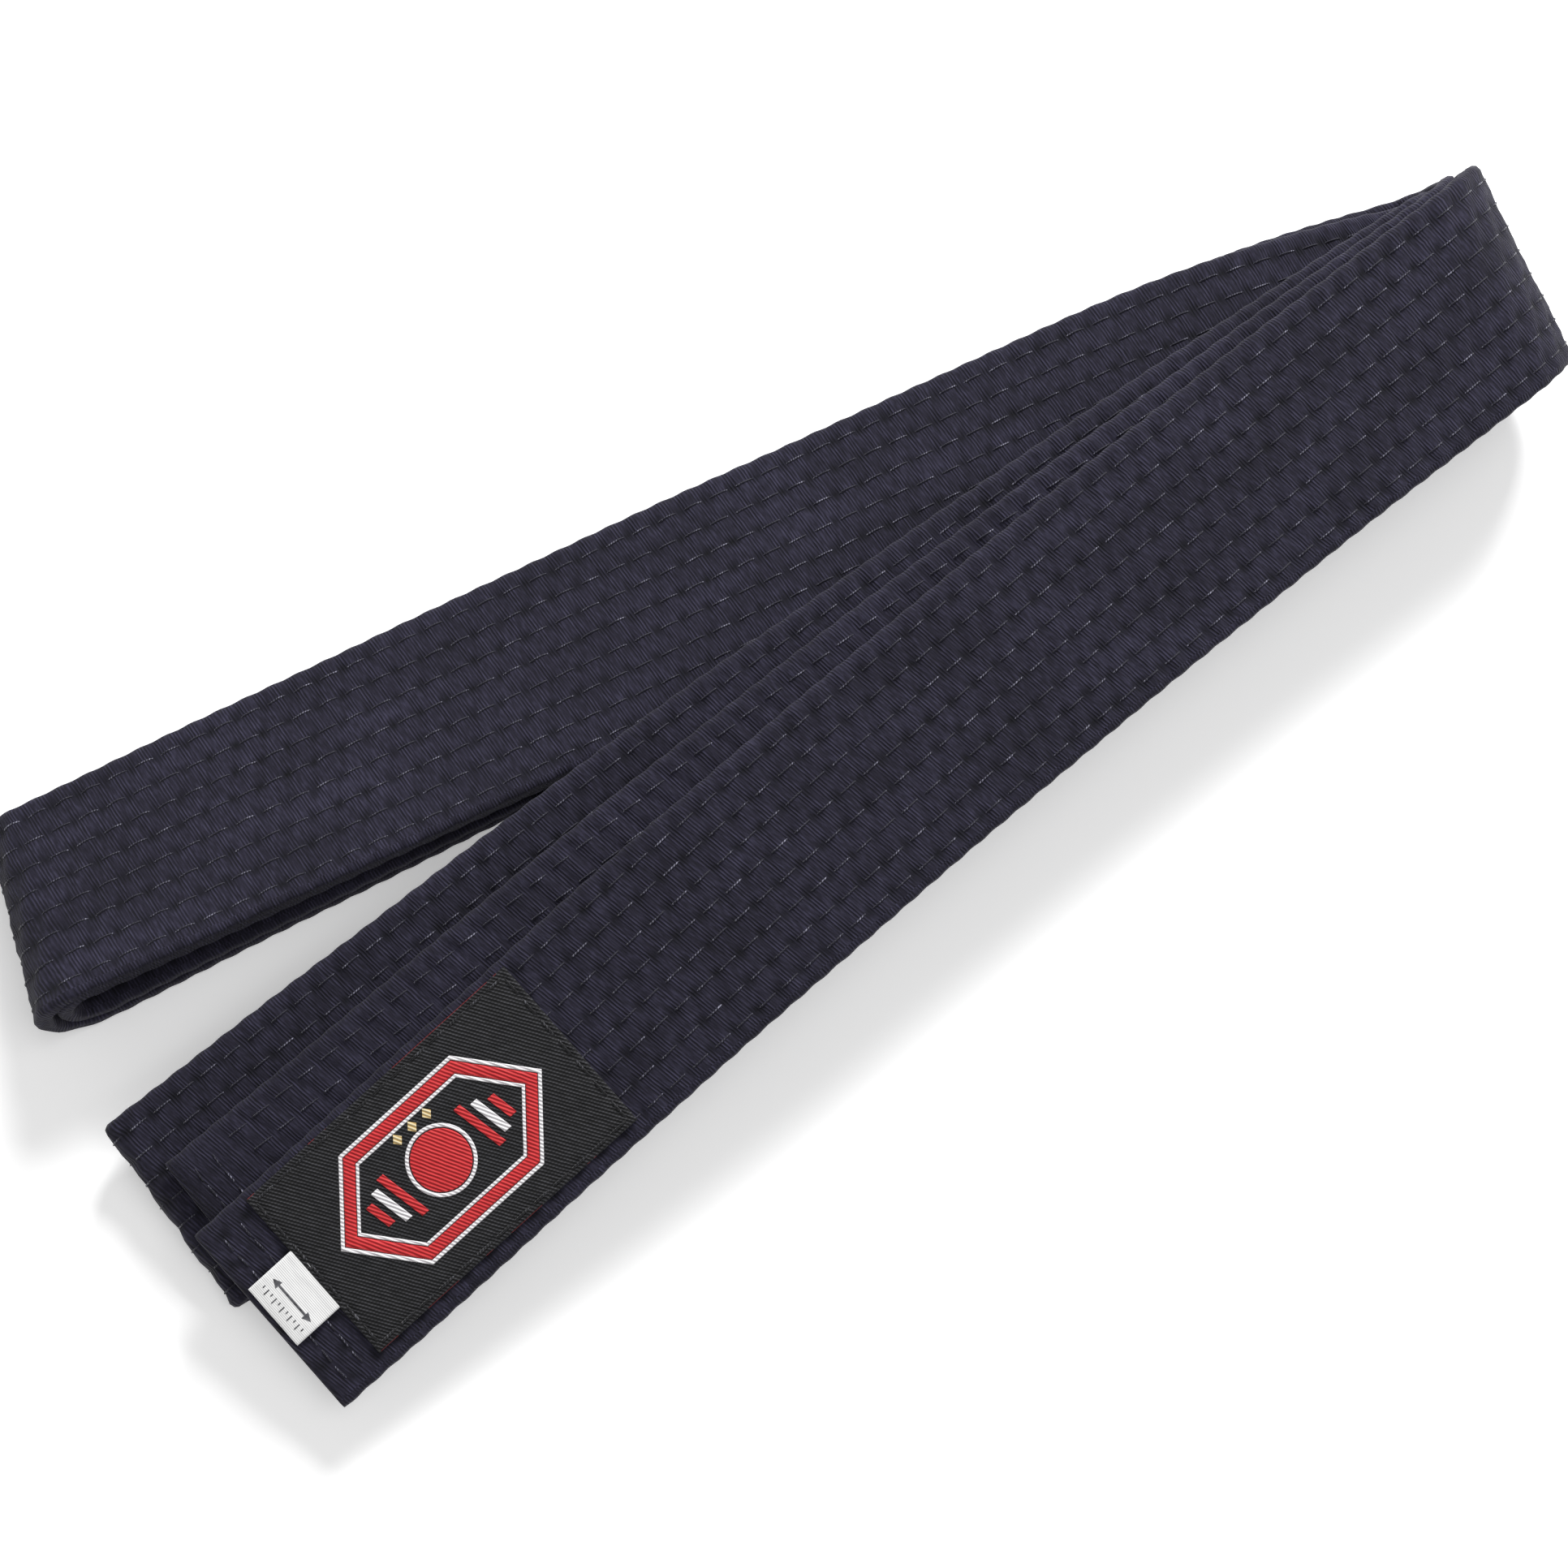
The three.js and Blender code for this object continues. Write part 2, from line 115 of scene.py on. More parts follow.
def front_lift(u, drop):
    """Height of the front bundle above its tips: an even slope, which eases to level past the bend."""
    slope = drop / (TIP_STRAIGHT + SETTLE_LENGTH / 2)
    from_tip = RUN_LENGTH + RUNS[FRONT, REACH] - u
    into = np.clip(from_tip - TIP_STRAIGHT, 0, SETTLE_LENGTH)
    return slope * (np.minimum(from_tip, TIP_STRAIGHT) + into - into ** 2 / (2 * SETTLE_LENGTH))


def height_at(k, u):
    """Middle height of layer k: each layer rests on the one below along its lower-lying edge."""
    z = np.full_like(u, HALF_THICK)
    for i in range(1, k + 1):
        below, own = roll_at(i - 1, u), roll_at(i, u)
        side_step = plan_point(i, u)[1] - plan_point(i - 1, u)[1]
        if i == FRONT:
            rolls = np.sin(np.radians(RUNS[i, ROLL])) - np.sin(np.radians(RUNS[i - 1, ROLL]))
            at_fold = height_at(i - 1, np.zeros(1))[0] + PITCH + HALF_WIDTH * abs(rolls)
            at_tip = HALF_THICK + HALF_WIDTH * np.sin(np.radians(RUNS[i, END_ROLL]))
            z = at_tip + front_lift(u, at_fold - at_tip)
        else:
            z = z + PITCH / np.cos(own) + side_step * np.tan(below)
            z = z + HALF_WIDTH * np.abs(np.sin(own) - np.sin(below))
    return z


def run_lines(k):
    """Near and far edge points of run k, from the fold to the open end."""
    u = np.linspace(0, RUN_LENGTH + RUNS[k, REACH], int(RUN_LENGTH / COURSE_STEP))
    x, y, heading = plan_point(k, u)
    roll = roll_at(k, u)
    turned = heading * np.minimum(u / SQUARE_LENGTH, 1)
    across = np.stack([np.sin(turned) * np.cos(roll), np.cos(turned) * np.cos(roll), np.sin(roll)], 1)
    reach = (HALF_WIDTH / np.cos(heading - turned))[:, None]
    middle = np.stack([x, y, height_at(k, u)], 1)
    return np.stack([middle - across * reach, middle + across * reach], 1)


def unit(a):
    """Vectors of length 1 in the same directions."""
    return a / np.linalg.norm(a, axis=-1, keepdims=True)


def bend_lines(before, after):
    """Half circles between the last line of one run and the first of the next, at both edges. Each leaves
    and arrives in its run's direction, which share the outward direction by the cosine of the angle."""
    first, last = before[-1], after[0]
    leaving, arriving = unit(before[-1] - before[-2]), unit(after[1] - after[0])
    radius = np.linalg.norm(first - last, axis=1).max() / 2
    parts = max(int(np.pi * radius / COURSE_STEP), 8)
    angle = (np.pi * np.arange(1, parts) / parts)[:, None, None]
    middle, arm = (first + last) / 2, (first - last) / 2
    share = (1 + np.cos(angle)) / 2
    outward = unit(leaving * share + arriving * (share - 1))
    size = np.linalg.norm(arm, axis=1)[:, None]
    return middle + arm * np.cos(angle) + outward * np.sin(angle) * size


runs = [run_lines(k) if i % 2 else run_lines(k)[::-1] for i, k in enumerate(ORDER)]
lines = [runs[0]]
for before, after in zip(runs, runs[1:]):
    lines += [bend_lines(before, after), after]
lines = np.concatenate(lines)
middles = lines.mean(1)
travel = np.append(0, np.cumsum(np.linalg.norm(np.diff(middles, axis=0), axis=1)))
BELT_LENGTH = travel[-1]


def running_mean(values, reach):
    """The mean over reach stations each way, with the end values held."""
    padded = np.concatenate([values[:1].repeat(reach, 0), values, values[-1:].repeat(reach, 0)])
    total = np.cumsum(np.concatenate([np.zeros((1, 3)), padded]), 0)
    return (total[2 * reach + 1:] - total[:-2 * reach - 1]) / (2 * reach + 1)


raw_across = (lines[:, 1] - lines[:, 0]) / BELT_WIDTH
raw_along = unit(np.gradient(middles, axis=0))
raw_normal = unit(running_mean(unit(np.cross(raw_along, raw_across)), 1))


def course(s):
    """Middle, across and face normal of the belt at lengths s from the labelled tip."""
    def at(values):
        return np.stack([np.interp(s, travel, values[:, i]) for i in range(3)], -1)
    return at(middles), at(raw_across), unit(at(raw_normal))


# The tag's hinge lies on the face of the labelled tip. It tells where the course is in the frame.
TAG_LINE = 10.7             # belt's end to the tag's folding line
TAG_SHIFT = 0.3             # the tag's middle line from the belt's, towards the far edge
TAG_GAP = 0.25              # above the belt's face
TIP_CHORD = 20.0            # over which the tip's direction is taken
tip_middle, tip_across, _ = course(np.array([0.0]))
tip_along = unit(course(np.array([TIP_CHORD]))[0] - tip_middle)[0]
tip_across = tip_across[0]
tip_off = unit(np.cross(tip_along, tip_across))
hinge = frame["joints"][0]
hinge_mm = np.array(hinge["pos_m"]) / MM
tip_origin = hinge_mm - tip_along * TAG_LINE - tip_across * TAG_SHIFT - tip_off * (HALF_THICK + TAG_GAP)
SHIFT = tip_origin - tip_middle[0]


def on_tip(points):
    """Points given from the labelled tip's end (along, across, off the mid-plane), in the shared frame."""
    along, across, off = points[..., :1], points[..., 1:2], points[..., 2:]
    return tip_origin + along * tip_along + across * tip_across + off * tip_off


# ---- quilted cover ------------------------------------------------------------------------------------
# One strip of very dark navy cotton twill, wrapped round the canvas core and closed by a seam along the
# near edge. Eight rows of lockstitch draw it in, so it puffs between the rows and puckers between holes.
STITCH_ROWS = 8
STITCH_MARGIN = 3.5         # belt edge to the outermost row
STITCH_PITCH = 5.25
HEM_ZONE = 10.0             # the long rows stop this far from the belt's end
QUILT_SINK = 0.2            # of the quilted part below the edge bands
SINK_WIDTH = 1.2            # over which it goes down
GROOVE_DEPTH = 0.08         # of the line a row draws in
GROOVE_WIDTH = 0.8
DIMPLE_DEPTH = 0.20         # of the hollow round a needle hole
DIMPLE_WIDTH = 1.5
PUCKER = 0.25               # half the height of the ripples that run from row to row
PUFF = 0.06                 # of the cloth between two rows
UNEVEN = 0.08               # of the whole face
ROW_STEP_SHARE = 0.4        # each row's holes sit this share of a stitch on from its neighbour's
SAMPLES_PER_STITCH = 5
EDGE_BAND = 1.5             # the smooth part along each edge
EDGE_ROUND = 0.45
EDGE_BULGE = 0.42
SEAM_WIDTH = 0.7            # of the groove along the near edge, where the cover's UV closes
TIP_ROUND = 1.6             # over which the belt's ends thin down
TIP_SHARE = 0.35            # of the thickness left at the very end
ROW_REACH = HALF_WIDTH - STITCH_MARGIN
ROW_GAP = 2 * ROW_REACH / (STITCH_ROWS - 1)
ROWS = np.linspace(-ROW_REACH, ROW_REACH, STITCH_ROWS)
BAND = HALF_WIDTH - EDGE_BAND


def waver(s, seed, length):
    """A smooth wander between -1 and 1: three sines whose lengths share no common measure."""
    turn = 2 * np.pi * s / length
    short, long = np.sin(turn * 1.73 + 2.1 * seed), np.sin(turn * 0.61 + 4.7 * seed)
    return (np.sin(turn + seed) + short + long) / 3


def row_phase(s, row, side):
    """How far along its stitch a row is at length s, in whole stitches from a hole. The holes on the back
    lie half a stitch on."""
    return s / STITCH_PITCH - ROW_STEP_SHARE * row - (0.5 if side < 0 else 0.0)


def quilt_height(s, v, side):
    """Height of the cover off the belt's mid-plane: half the thickness at the edge bands, sunk between
    them. Each row adds a groove and a dimple at each hole; ripples run slantwise from hole to hole."""
    inside = np.clip((BAND - 0.2 - np.abs(v)) / SINK_WIDTH, 0, 1)
    h = HALF_THICK - QUILT_SINK * inside ** 2 * (3 - 2 * inside)
    sewn = np.clip((np.minimum(s, BELT_LENGTH - s) - HEM_ZONE + 2) / 4, 0, 1)
    for row, at in enumerate(ROWS):
        away = (v - at) / ROW_GAP
        hole = (0.5 + 0.5 * np.cos(2 * np.pi * row_phase(s, row, side))) ** 2
        strength = 1 + 0.6 * waver(s, 1.7 * row + side, 61.0) + 0.6 * waver(s, 2.9 * row + side, 17.0)
        h = h - sewn * GROOVE_DEPTH * np.exp(-(away * ROW_GAP / GROOVE_WIDTH) ** 2)
        h = h - sewn * DIMPLE_DEPTH * strength * hole * np.exp(-(away * ROW_GAP / DIMPLE_WIDTH) ** 2)
    place = (v - ROWS[0]) / ROW_GAP
    wander = 0.15 * waver(s, 2.3 * side + 0.9 * place, 37.0)
    pucker = 0.55 + 0.5 * waver(s + 2 * v, 0.7 * place + side, 71.0)
    pucker = pucker + 0.4 * waver(s, 1.3 * place - side, 23.0)
    pucker = np.clip(pucker + 0.25 * (np.abs(v) / ROW_REACH) ** 2, 0, 1.4)
    h = h - sewn * PUCKER * pucker * np.cos(2 * np.pi * (row_phase(s, place, side) + wander))
    puff = 0.5 + 0.5 * np.cos(2 * np.pi * (place + 0.5))
    h = h + PUFF * puff * (np.abs(v) < ROW_REACH)
    return h + UNEVEN * waver(s + 0.8 * v, 3.0 + side, 27.0)


def edge_reach(s, side):
    """Half width of the belt: the edge stands out a little between the holes of the row next to it."""
    row = STITCH_ROWS - 1 if side > 0 else 0
    drawn_in = 0.06 + 0.1 * np.cos(2 * np.pi * row_phase(s, row, 1))
    return HALF_WIDTH - drawn_in + 0.12 * waver(s, side, 83.0)


def cover_points(s):
    """Section of the cover at lengths s: along the face from near to far, round the far edge, back along
    the underside and round the near edge, where the closing seam leaves a shallow groove."""
    inner = np.sort(np.concatenate([ROWS, (ROWS[1:] + ROWS[:-1]) / 2, [-BAND, BAND]]))
    far, near = edge_reach(s, 1), edge_reach(s, -1)
    columns = [(v + 0 * s, quilt_height(s, v, 1)) for v in inner]
    columns += [(far - EDGE_ROUND + EDGE_BULGE * out, HALF_THICK * up + 0 * s)
                for out, up in ((0, 0.82), (1, 0.38), (1, -0.38), (0, -0.82))]
    columns += [(v + 0 * s, -quilt_height(s, v, -1)) for v in inner[::-1]]
    columns += [(EDGE_ROUND - near - EDGE_BULGE * out, HALF_THICK * up + 0 * s)
                for out, up in ((0, -0.82), (1, -0.4), (0.1, 0), (1, 0.4), (0, 0.82))]
    v = np.stack([c[0] for c in columns], 1)
    h = np.stack([c[1] for c in columns], 1)
    from_end = np.clip(np.minimum(s, BELT_LENGTH - s)[:, None] / TIP_ROUND, 0, 1)
    taper = np.sqrt(from_end * (2 - from_end))
    return v, h * lerp(TIP_SHARE, 1, taper)


def swept(s, v, h):
    """Points at offsets v across and h off the mid-plane, carried along the course, in the frame."""
    middle, across, normal = (part[:, None] for part in course(s))
    return middle + across * v[..., None] + normal * h[..., None] + SHIFT


def make_piece(name, points, faces, uv=None, smooth=True):
    """A mesh object at the origin from points in millimetres, its faces, and a UV pair per corner."""
    mesh = bpy.data.meshes.new(name)
    mesh.from_pydata((np.asarray(points).reshape(-1, 3) * MM).tolist(), [], faces)
    if uv is not None:
        layer = mesh.uv_layers.new(name="Cloth")
        layer.data.foreach_set("uv", np.asarray(uv, np.float32).ravel())
    mesh.polygons.foreach_set("use_smooth", [smooth] * len(mesh.polygons))
    mesh.update()
    obj = bpy.data.objects.new(name, mesh)
    bpy.context.scene.collection.objects.link(obj)
    return obj


def ring_faces(rings, count):
    """Quads between neighbouring closed rings of count points each, as an array of corners."""
    i, j = np.meshgrid(np.arange(rings - 1), np.arange(count), indexing="ij")
    a, b = i * count + j, i * count + (j + 1) % count
    return np.stack([a, b, b + count, a + count], -1).reshape(-1, 4)


samples = int(BELT_LENGTH / STITCH_PITCH) * SAMPLES_PER_STITCH
stations = np.arange(1, samples) * STITCH_PITCH / SAMPLES_PER_STITCH
stations = np.unique(np.concatenate([[0.0, 0.3, 0.7], stations, [BELT_LENGTH - 0.3, BELT_LENGTH]]))
cover_v, cover_h = cover_points(stations)
cover_grid = swept(stations, cover_v, cover_h)
rings, around = cover_v.shape
quads = ring_faces(rings, around)[:, ::-1]
past_tip = 9                # a ring beyond the thinned end, round which the UV's width is measured
steps = np.hypot(np.diff(cover_v[past_tip]), np.diff(cover_h[past_tip]))
girth = np.concatenate([[0], np.cumsum(steps), [steps.sum() + SEAM_WIDTH]]) - BAND
ring_of, column_of = quads // around, quads % around
wraps = (column_of == 0) & (column_of.max(1, keepdims=True) == around - 1)
cover_uv = np.stack([stations[ring_of], girth[np.where(wraps, around, column_of)]], -1) * MM
cap_uv = np.zeros((2 * around, 2))
ends = [list(range(around)), [(rings - 1) * around + j for j in range(around)][::-1]]
cover = make_piece("quilted_cover", cover_grid, quads.tolist() + ends,
                   np.concatenate([cover_uv.reshape(-1, 2), cap_uv]))


def linear(code):
    """An sRGB hex colour as a linear colour with full alpha."""
    value = np.array([int(code[i:i + 2], 16) for i in (1, 3, 5)]) / 255
    value = np.where(value <= 0.04045, value / 12.92, ((value + 0.055) / 1.055) ** 2.4)
    return (*value, 1.0)


def add(tree, kind, links=None, **settings):
    """Adds a shader node, sets its sockets and settings, and links it; links maps a socket to an output."""
    node = tree.nodes.new(kind)
    for key, value in settings.items():
        if hasattr(node, key):
            setattr(node, key, value)
        else:
            node.inputs[key.replace("_", " ")].default_value = value
    for socket, output in (links or {}).items():
        tree.links.new(output, node.inputs[socket])
    return node


def new_material(name):
    """An empty node material, its tree and its shader."""
    material = bpy.data.materials.new(name)
    material.use_nodes = True
    tree = material.node_tree
    return material, tree, tree.nodes["Principled BSDF"]


def ramp(tree, factor, low, high, *colours):
    """A colour ramp from low to high through evenly spaced colours."""
    node = add(tree, "ShaderNodeValToRGB", {"Fac": factor})
    stops = node.color_ramp.elements
    for i, colour in enumerate(colours):
        at = low + (high - low) * i / (len(colours) - 1)
        stop = stops[i] if i < 2 else stops.new(at)
        stop.position, stop.color = at, linear(colour)
    return node.outputs["Color"]


def cloth_mm(tree):
    """The piece's own cloth coordinates, along and across the strip, in millimetres."""
    uv = add(tree, "ShaderNodeUVMap", uv_map="Cloth")
    scaled = add(tree, "ShaderNodeMapping", {"Vector": uv.outputs["UV"]}, Scale=(1 / MM,) * 3)
    return scaled.outputs["Vector"]


def object_mm(tree):
    """Places in the piece's own space, in millimetres."""
    place = add(tree, "ShaderNodeTexCoord").outputs["Object"]
    return add(tree, "ShaderNodeMapping", {"Vector": place}, Scale=(1 / MM,) * 3).outputs["Vector"]


def ribs(tree, place, angle, spacing, **settings):
    """Parallel ribs at an angle to the strip's length, spacing millimetres apart, from 0 to 1. The wave
    node repeats 20 / (2 pi) times in one unit at scale 1."""
    turned = add(tree, "ShaderNodeMapping", {"Vector": place}, Rotation=(0, 0, -np.radians(90 + angle)))
    wave = add(tree, "ShaderNodeTexWave", {"Vector": turned.outputs["Vector"]},
               Scale=2 * np.pi / (20 * spacing), **settings)
    return wave.outputs["Fac"]


def streaks(tree, place, angle, length, width):
    """Noise drawn out along an angle to the strip, with blots of about that length and width."""
    turned = add(tree, "ShaderNodeMapping", {"Vector": place}, Rotation=(0, 0, -np.radians(angle)))
    drawn = add(tree, "ShaderNodeMapping", {"Vector": turned.outputs["Vector"]},
                Scale=(1 / length, 1 / width, 1))
    noise = add(tree, "ShaderNodeTexNoise", {"Vector": drawn.outputs["Vector"]}, Scale=1.0, Detail=3.0)
    return noise.outputs["Fac"]


def math(tree, operation, a, b=0.0, clamp=False):
    """One scalar operation; a and b are sockets or numbers."""
    node = add(tree, "ShaderNodeMath", operation=operation, use_clamp=clamp)
    for socket, value in zip(node.inputs, (a, b)):
        if isinstance(value, (int, float)):
            socket.default_value = value
        else:
            tree.links.new(value, socket)
    return node.outputs["Value"]


def weighted(tree, *terms):
    """The sum of sockets, each times its number."""
    total = 0.0
    for output, weight in terms:
        total = math(tree, "ADD", total, math(tree, "MULTIPLY", output, float(weight)))
    return total


def darker(tree, colour, factor, dark):
    """A colour that goes to a dark one as a factor goes from 0 to 1."""
    node = add(tree, "ShaderNodeMix", data_type="RGBA")
    for socket, value in ((node.inputs[0], factor), (node.inputs[6], colour)):
        tree.links.new(value, socket)
    node.inputs[7].default_value = linear(dark)
    return node.outputs[2]


def finish_cloth(tree, shader, colour, height, relief, roughness, sheen):
    """Colour and relief, in millimetres for a height of 1, with an even roughness and sheen."""
    bump = add(tree, "ShaderNodeBump", {"Height": height}, Strength=1.0, Distance=relief * MM)
    tree.links.new(bump.outputs["Normal"], shader.inputs["Normal"])
    tree.links.new(colour, shader.inputs["Base Color"])
    shader.inputs["Roughness"].default_value = roughness
    shader.inputs["Sheen Weight"].default_value = sheen
    shader.inputs["Sheen Roughness"].default_value = 0.45
    shader.inputs["Specular IOR Level"].default_value = 0.25


TWILL_ANGLE = -80.0         # from the belt's length
TWILL_SPACING = 0.62
YARN_ANGLE = 100.0
YARN_SPACING = 0.52
HOLE_RADIUS = 1.7           # of the hollow round a needle hole, and of the painted shade in it
HOLE_LENGTH_SHARE = 0.8     # how much shorter a distance along the belt counts than one across it


def needle_pits(tree, place):
    """Up to 1 at a needle hole, down to 0 at HOLE_RADIUS, by the distance to the nearest row and stitch.
    It drives both the hollow's relief and the painted shade in it. A slow noise makes some holes deeper,
    and their painted shade darker, than others."""
    parts = add(tree, "ShaderNodeSeparateXYZ", {"Vector": place})
    row = math(tree, "DIVIDE", math(tree, "ADD", parts.outputs["Y"], ROW_REACH), ROW_GAP)
    nearest = math(tree, "ROUND", row)
    aside = math(tree, "MULTIPLY", math(tree, "SUBTRACT", row, nearest), ROW_GAP)
    stitch = math(tree, "DIVIDE", parts.outputs["X"], STITCH_PITCH)
    stitch = math(tree, "SUBTRACT", stitch, math(tree, "MULTIPLY", nearest, ROW_STEP_SHARE))
    ahead = math(tree, "SUBTRACT", stitch, math(tree, "ROUND", stitch))
    ahead = math(tree, "MULTIPLY", ahead, STITCH_PITCH * HOLE_LENGTH_SHARE)
    squares = [math(tree, "MULTIPLY", x, x) for x in (aside, ahead)]
    distance = math(tree, "SQRT", math(tree, "ADD", *squares))
    pit = math(tree, "SUBTRACT", 1.0, math(tree, "DIVIDE", distance, HOLE_RADIUS), clamp=True)
    pit = math(tree, "MULTIPLY", pit, streaks(tree, place, 0, 19.0, 6.0))
    on_face = math(tree, "LESS_THAN", math(tree, "ABSOLUTE", parts.outputs["Y"]), HALF_WIDTH - 1)
    return math(tree, "MULTIPLY", pit, on_face)


def cotton_drill():
    """Piece-dyed cotton drill: fine steep ribs whose yarn crowns are painted lighter as painted highlight,
    slubs that break the ribs up, and a hollow round the needle holes, darkened by painted shade."""
    material, tree, shader = new_material("navy_cotton_drill")
    place = cloth_mm(tree)
    twill = ribs(tree, place, TWILL_ANGLE, TWILL_SPACING, Distortion=1.2, Detail=2.0)
    yarn = ribs(tree, place, YARN_ANGLE, YARN_SPACING, Distortion=1.0, Detail=1.0)
    slub = streaks(tree, place, TWILL_ANGLE, 2.2, 0.5)
    worn = streaks(tree, place, 0, 22.0, 9.0)
    pit = needle_pits(tree, place)
    # painted highlight: the twill and yarn ribs lighten the colour on their crowns; slub and worn streaks
    # vary the tone at random
    tone = weighted(tree, (twill, 0.20), (yarn, 0.10), (slub, 0.62), (worn, 0.32))
    ground = ramp(tree, tone, 0.36, 0.86, "#13121A", "#211F2C", "#3A384B")
    # painted shade: the colour goes towards near black in the hollow round each needle hole
    colour = darker(tree, ground, math(tree, "MULTIPLY", pit, 1.5, clamp=True), "#0A0A10")
    height = weighted(tree, (twill, 0.7), (yarn, 0.7), (slub, 1.2), (pit, -2.0))
    finish_cloth(tree, shader, colour, height, 0.08, 0.92, 0.08)
    return material


cover.data.materials.append(cotton_drill())
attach(cover, "belt")
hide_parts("cover")

# ---- core plies ---------------------------------------------------------------------------------------
# Two strips of undyed cotton canvas that give the belt its body. They are shut inside the cover.


def canvas():
    """Loomstate canvas: a plain weave of cream yarns with darker flecks of seed."""
    material, tree, shader = new_material("loomstate_cotton_canvas")
    place = object_mm(tree)
    weave = weighted(tree, (ribs(tree, place, 0, 0.9), 0.5), (ribs(tree, place, 90, 0.9), 0.5))
    fleck = streaks(tree, place, 0, 1.5, 1.5)
    tone = weighted(tree, (weave, 0.5), (fleck, 0.5))
    colour = ramp(tree, tone, 0.2, 0.8, "#8F8774", "#C9C1AC", "#DDD6C4")
    finish_cloth(tree, shader, colour, weave, 0.15, 0.95, 0.1)
    return material


CANVAS = canvas()
PLY_HALF_WIDTH = 19.0
PLY_STEP = 2.0              # along the belt
# underside and top of each ply, off the belt's mid-plane
PLY_LEVELS = {"core_ply_1": (0.08, 0.62), "core_ply_2": (-0.62, -0.08)}
PLY_INSET = 1.5             # from the belt's end

ply_stations = np.arange(PLY_INSET, BELT_LENGTH - PLY_INSET, PLY_STEP)
ply_v = np.tile(np.array([-1.0, 1.0, 1.0, -1.0]) * PLY_HALF_WIDTH, (len(ply_stations), 1))
for ply, (low, high) in PLY_LEVELS.items():
    ply_h = np.tile([high, high, low, low], (len(ply_stations), 1))
    last = 4 * len(ply_stations) - 4
    ply_faces = ring_faces(len(ply_stations), 4)[:, ::-1].tolist()
    ply_faces += [[0, 1, 2, 3], [last + 3, last + 2, last + 1, last]]
    strip = make_piece("canvas_" + ply, swept(ply_stations, ply_v, ply_h), ply_faces, smooth=False)
    strip.data.materials.append(CANVAS)
    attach(strip, "belt")
    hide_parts(ply)

# ---- quilting and hem threads -------------------------------------------------------------------------
# Spun polyester lockstitch, close to the cloth's colour. Each stitch is a short arch of thread that rises
# from one needle hole, lies on the cloth and dives into the next, on the face and on the back.
THREAD_RADIUS = 0.15
THREAD_RINGS = 6
THREAD_SIDES = 5
DIVE = 0.5                  # how deep a stitch's ends go below the cloth
STITCH_LIFT = 0.10          # of a thread's middle above the cloth
HEM_LIFT = 0.14
HEM_PITCH = 3.4
HEM_ROWS = (4.0, 8.0)       # from the belt's end


def thread_bodies(centres, sideways, up, radius):
    """Closed threads from centre points (stitch, ring, xyz): at each ring a circle of THREAD_SIDES points
    in the plane of sideways and up, which narrows to a quarter at both ends."""
    turn = 2 * np.pi * np.arange(THREAD_SIDES) / THREAD_SIDES
    size = radius * np.array([0.25] + [1.0] * (THREAD_RINGS - 2) + [0.25])[None, :, None, None]
    circle = np.cos(turn)[:, None] * sideways[..., None, :] + np.sin(turn)[:, None] * up[..., None, :]
    points = centres[:, :, None] + size * circle
    count = THREAD_RINGS * THREAD_SIDES
    one = ring_faces(THREAD_RINGS, THREAD_SIDES)
    starts = np.arange(len(centres))[:, None, None] * count
    faces = (one[None] + starts).reshape(-1, 4).tolist()
    ends = [np.arange(THREAD_SIDES)[::-1], np.arange(count - THREAD_SIDES, count)]
    for end in ends:
        faces += (end[None] + starts[:, 0]).tolist()
    return points, faces


def arch(rings):
    """Places along a stitch from 0 to 1, and its height there from -1 at the holes to 0 between them."""
    t = np.linspace(0.03, 0.97, rings)
    return t, -np.abs(2 * t - 1) ** 5


def spun_polyester(name, dark, light):
    """Spun polyester sewing thread: fine twist lines, with a soft gloss where it bends over, and painted
    glints: patches where the colour goes to the light one.
    """
    material, tree, shader = new_material(name)
    place = object_mm(tree)
    twist = ribs(tree, place, 60, 0.45, Distortion=1.5)
    # painted glint: noise patches where the thread's colour goes light
    painted_glint = streaks(tree, place, 0, 2.2, 2.2)
    colour = ramp(tree, weighted(tree, (twist, 0.2), (painted_glint, 0.9)), 0.45, 0.8, dark, dark, light)
    finish_cloth(tree, shader, colour, twist, 0.05, 0.5, 0.2)
    return material


# the light colour is painted glint; the dark one is close to the cloth's colour
THREAD = spun_polyester("navy_spun_polyester_thread", "#23222E", "#8E8D9F")


def add_thread(name, node, points, faces, material):
    """Makes one row's thread, which stands for a CAD node."""
    piece = make_piece(name, points, faces)
    piece.data.materials.append(material)
    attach(piece, "belt")
    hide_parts(node)


def long_row(row, side):
    """The stitches of one long row on the face (1) or the back (-1), from hole to hole."""
    offset = ROW_STEP_SHARE * row + (0.5 if side < 0 else 0.0)
    first = int(np.ceil(HEM_ZONE / STITCH_PITCH - offset))
    last = int((BELT_LENGTH - HEM_ZONE) / STITCH_PITCH - offset)
    t, dip = arch(THREAD_RINGS)
    s = (np.arange(first, last)[:, None] + offset + t) * STITCH_PITCH
    lean = 0.12 * (2 * t - 1) + 0.1 * waver(s[:, :1], row + 5.0, 47.0)
    v = ROWS[row] + lean
    h = side * (quilt_height(s, v, side) + STITCH_LIFT + DIVE * dip)
    middle, across, normal = course(s.ravel())
    centres = middle + across * v.reshape(-1, 1) + normal * h.reshape(-1, 1) + SHIFT
    shape = s.shape + (3,)
    across, normal = across.reshape(shape), normal.reshape(shape)
    return thread_bodies(centres.reshape(shape), across, normal, THREAD_RADIUS)


for row in range(STITCH_ROWS):
    for side, kind in ((1, "needle"), (-1, "bobbin")):
        points, faces = long_row(row, side)
        add_thread(f"{kind}_stitches_{row + 1}", f"{kind}_row_{row + 1}", points, faces, THREAD)


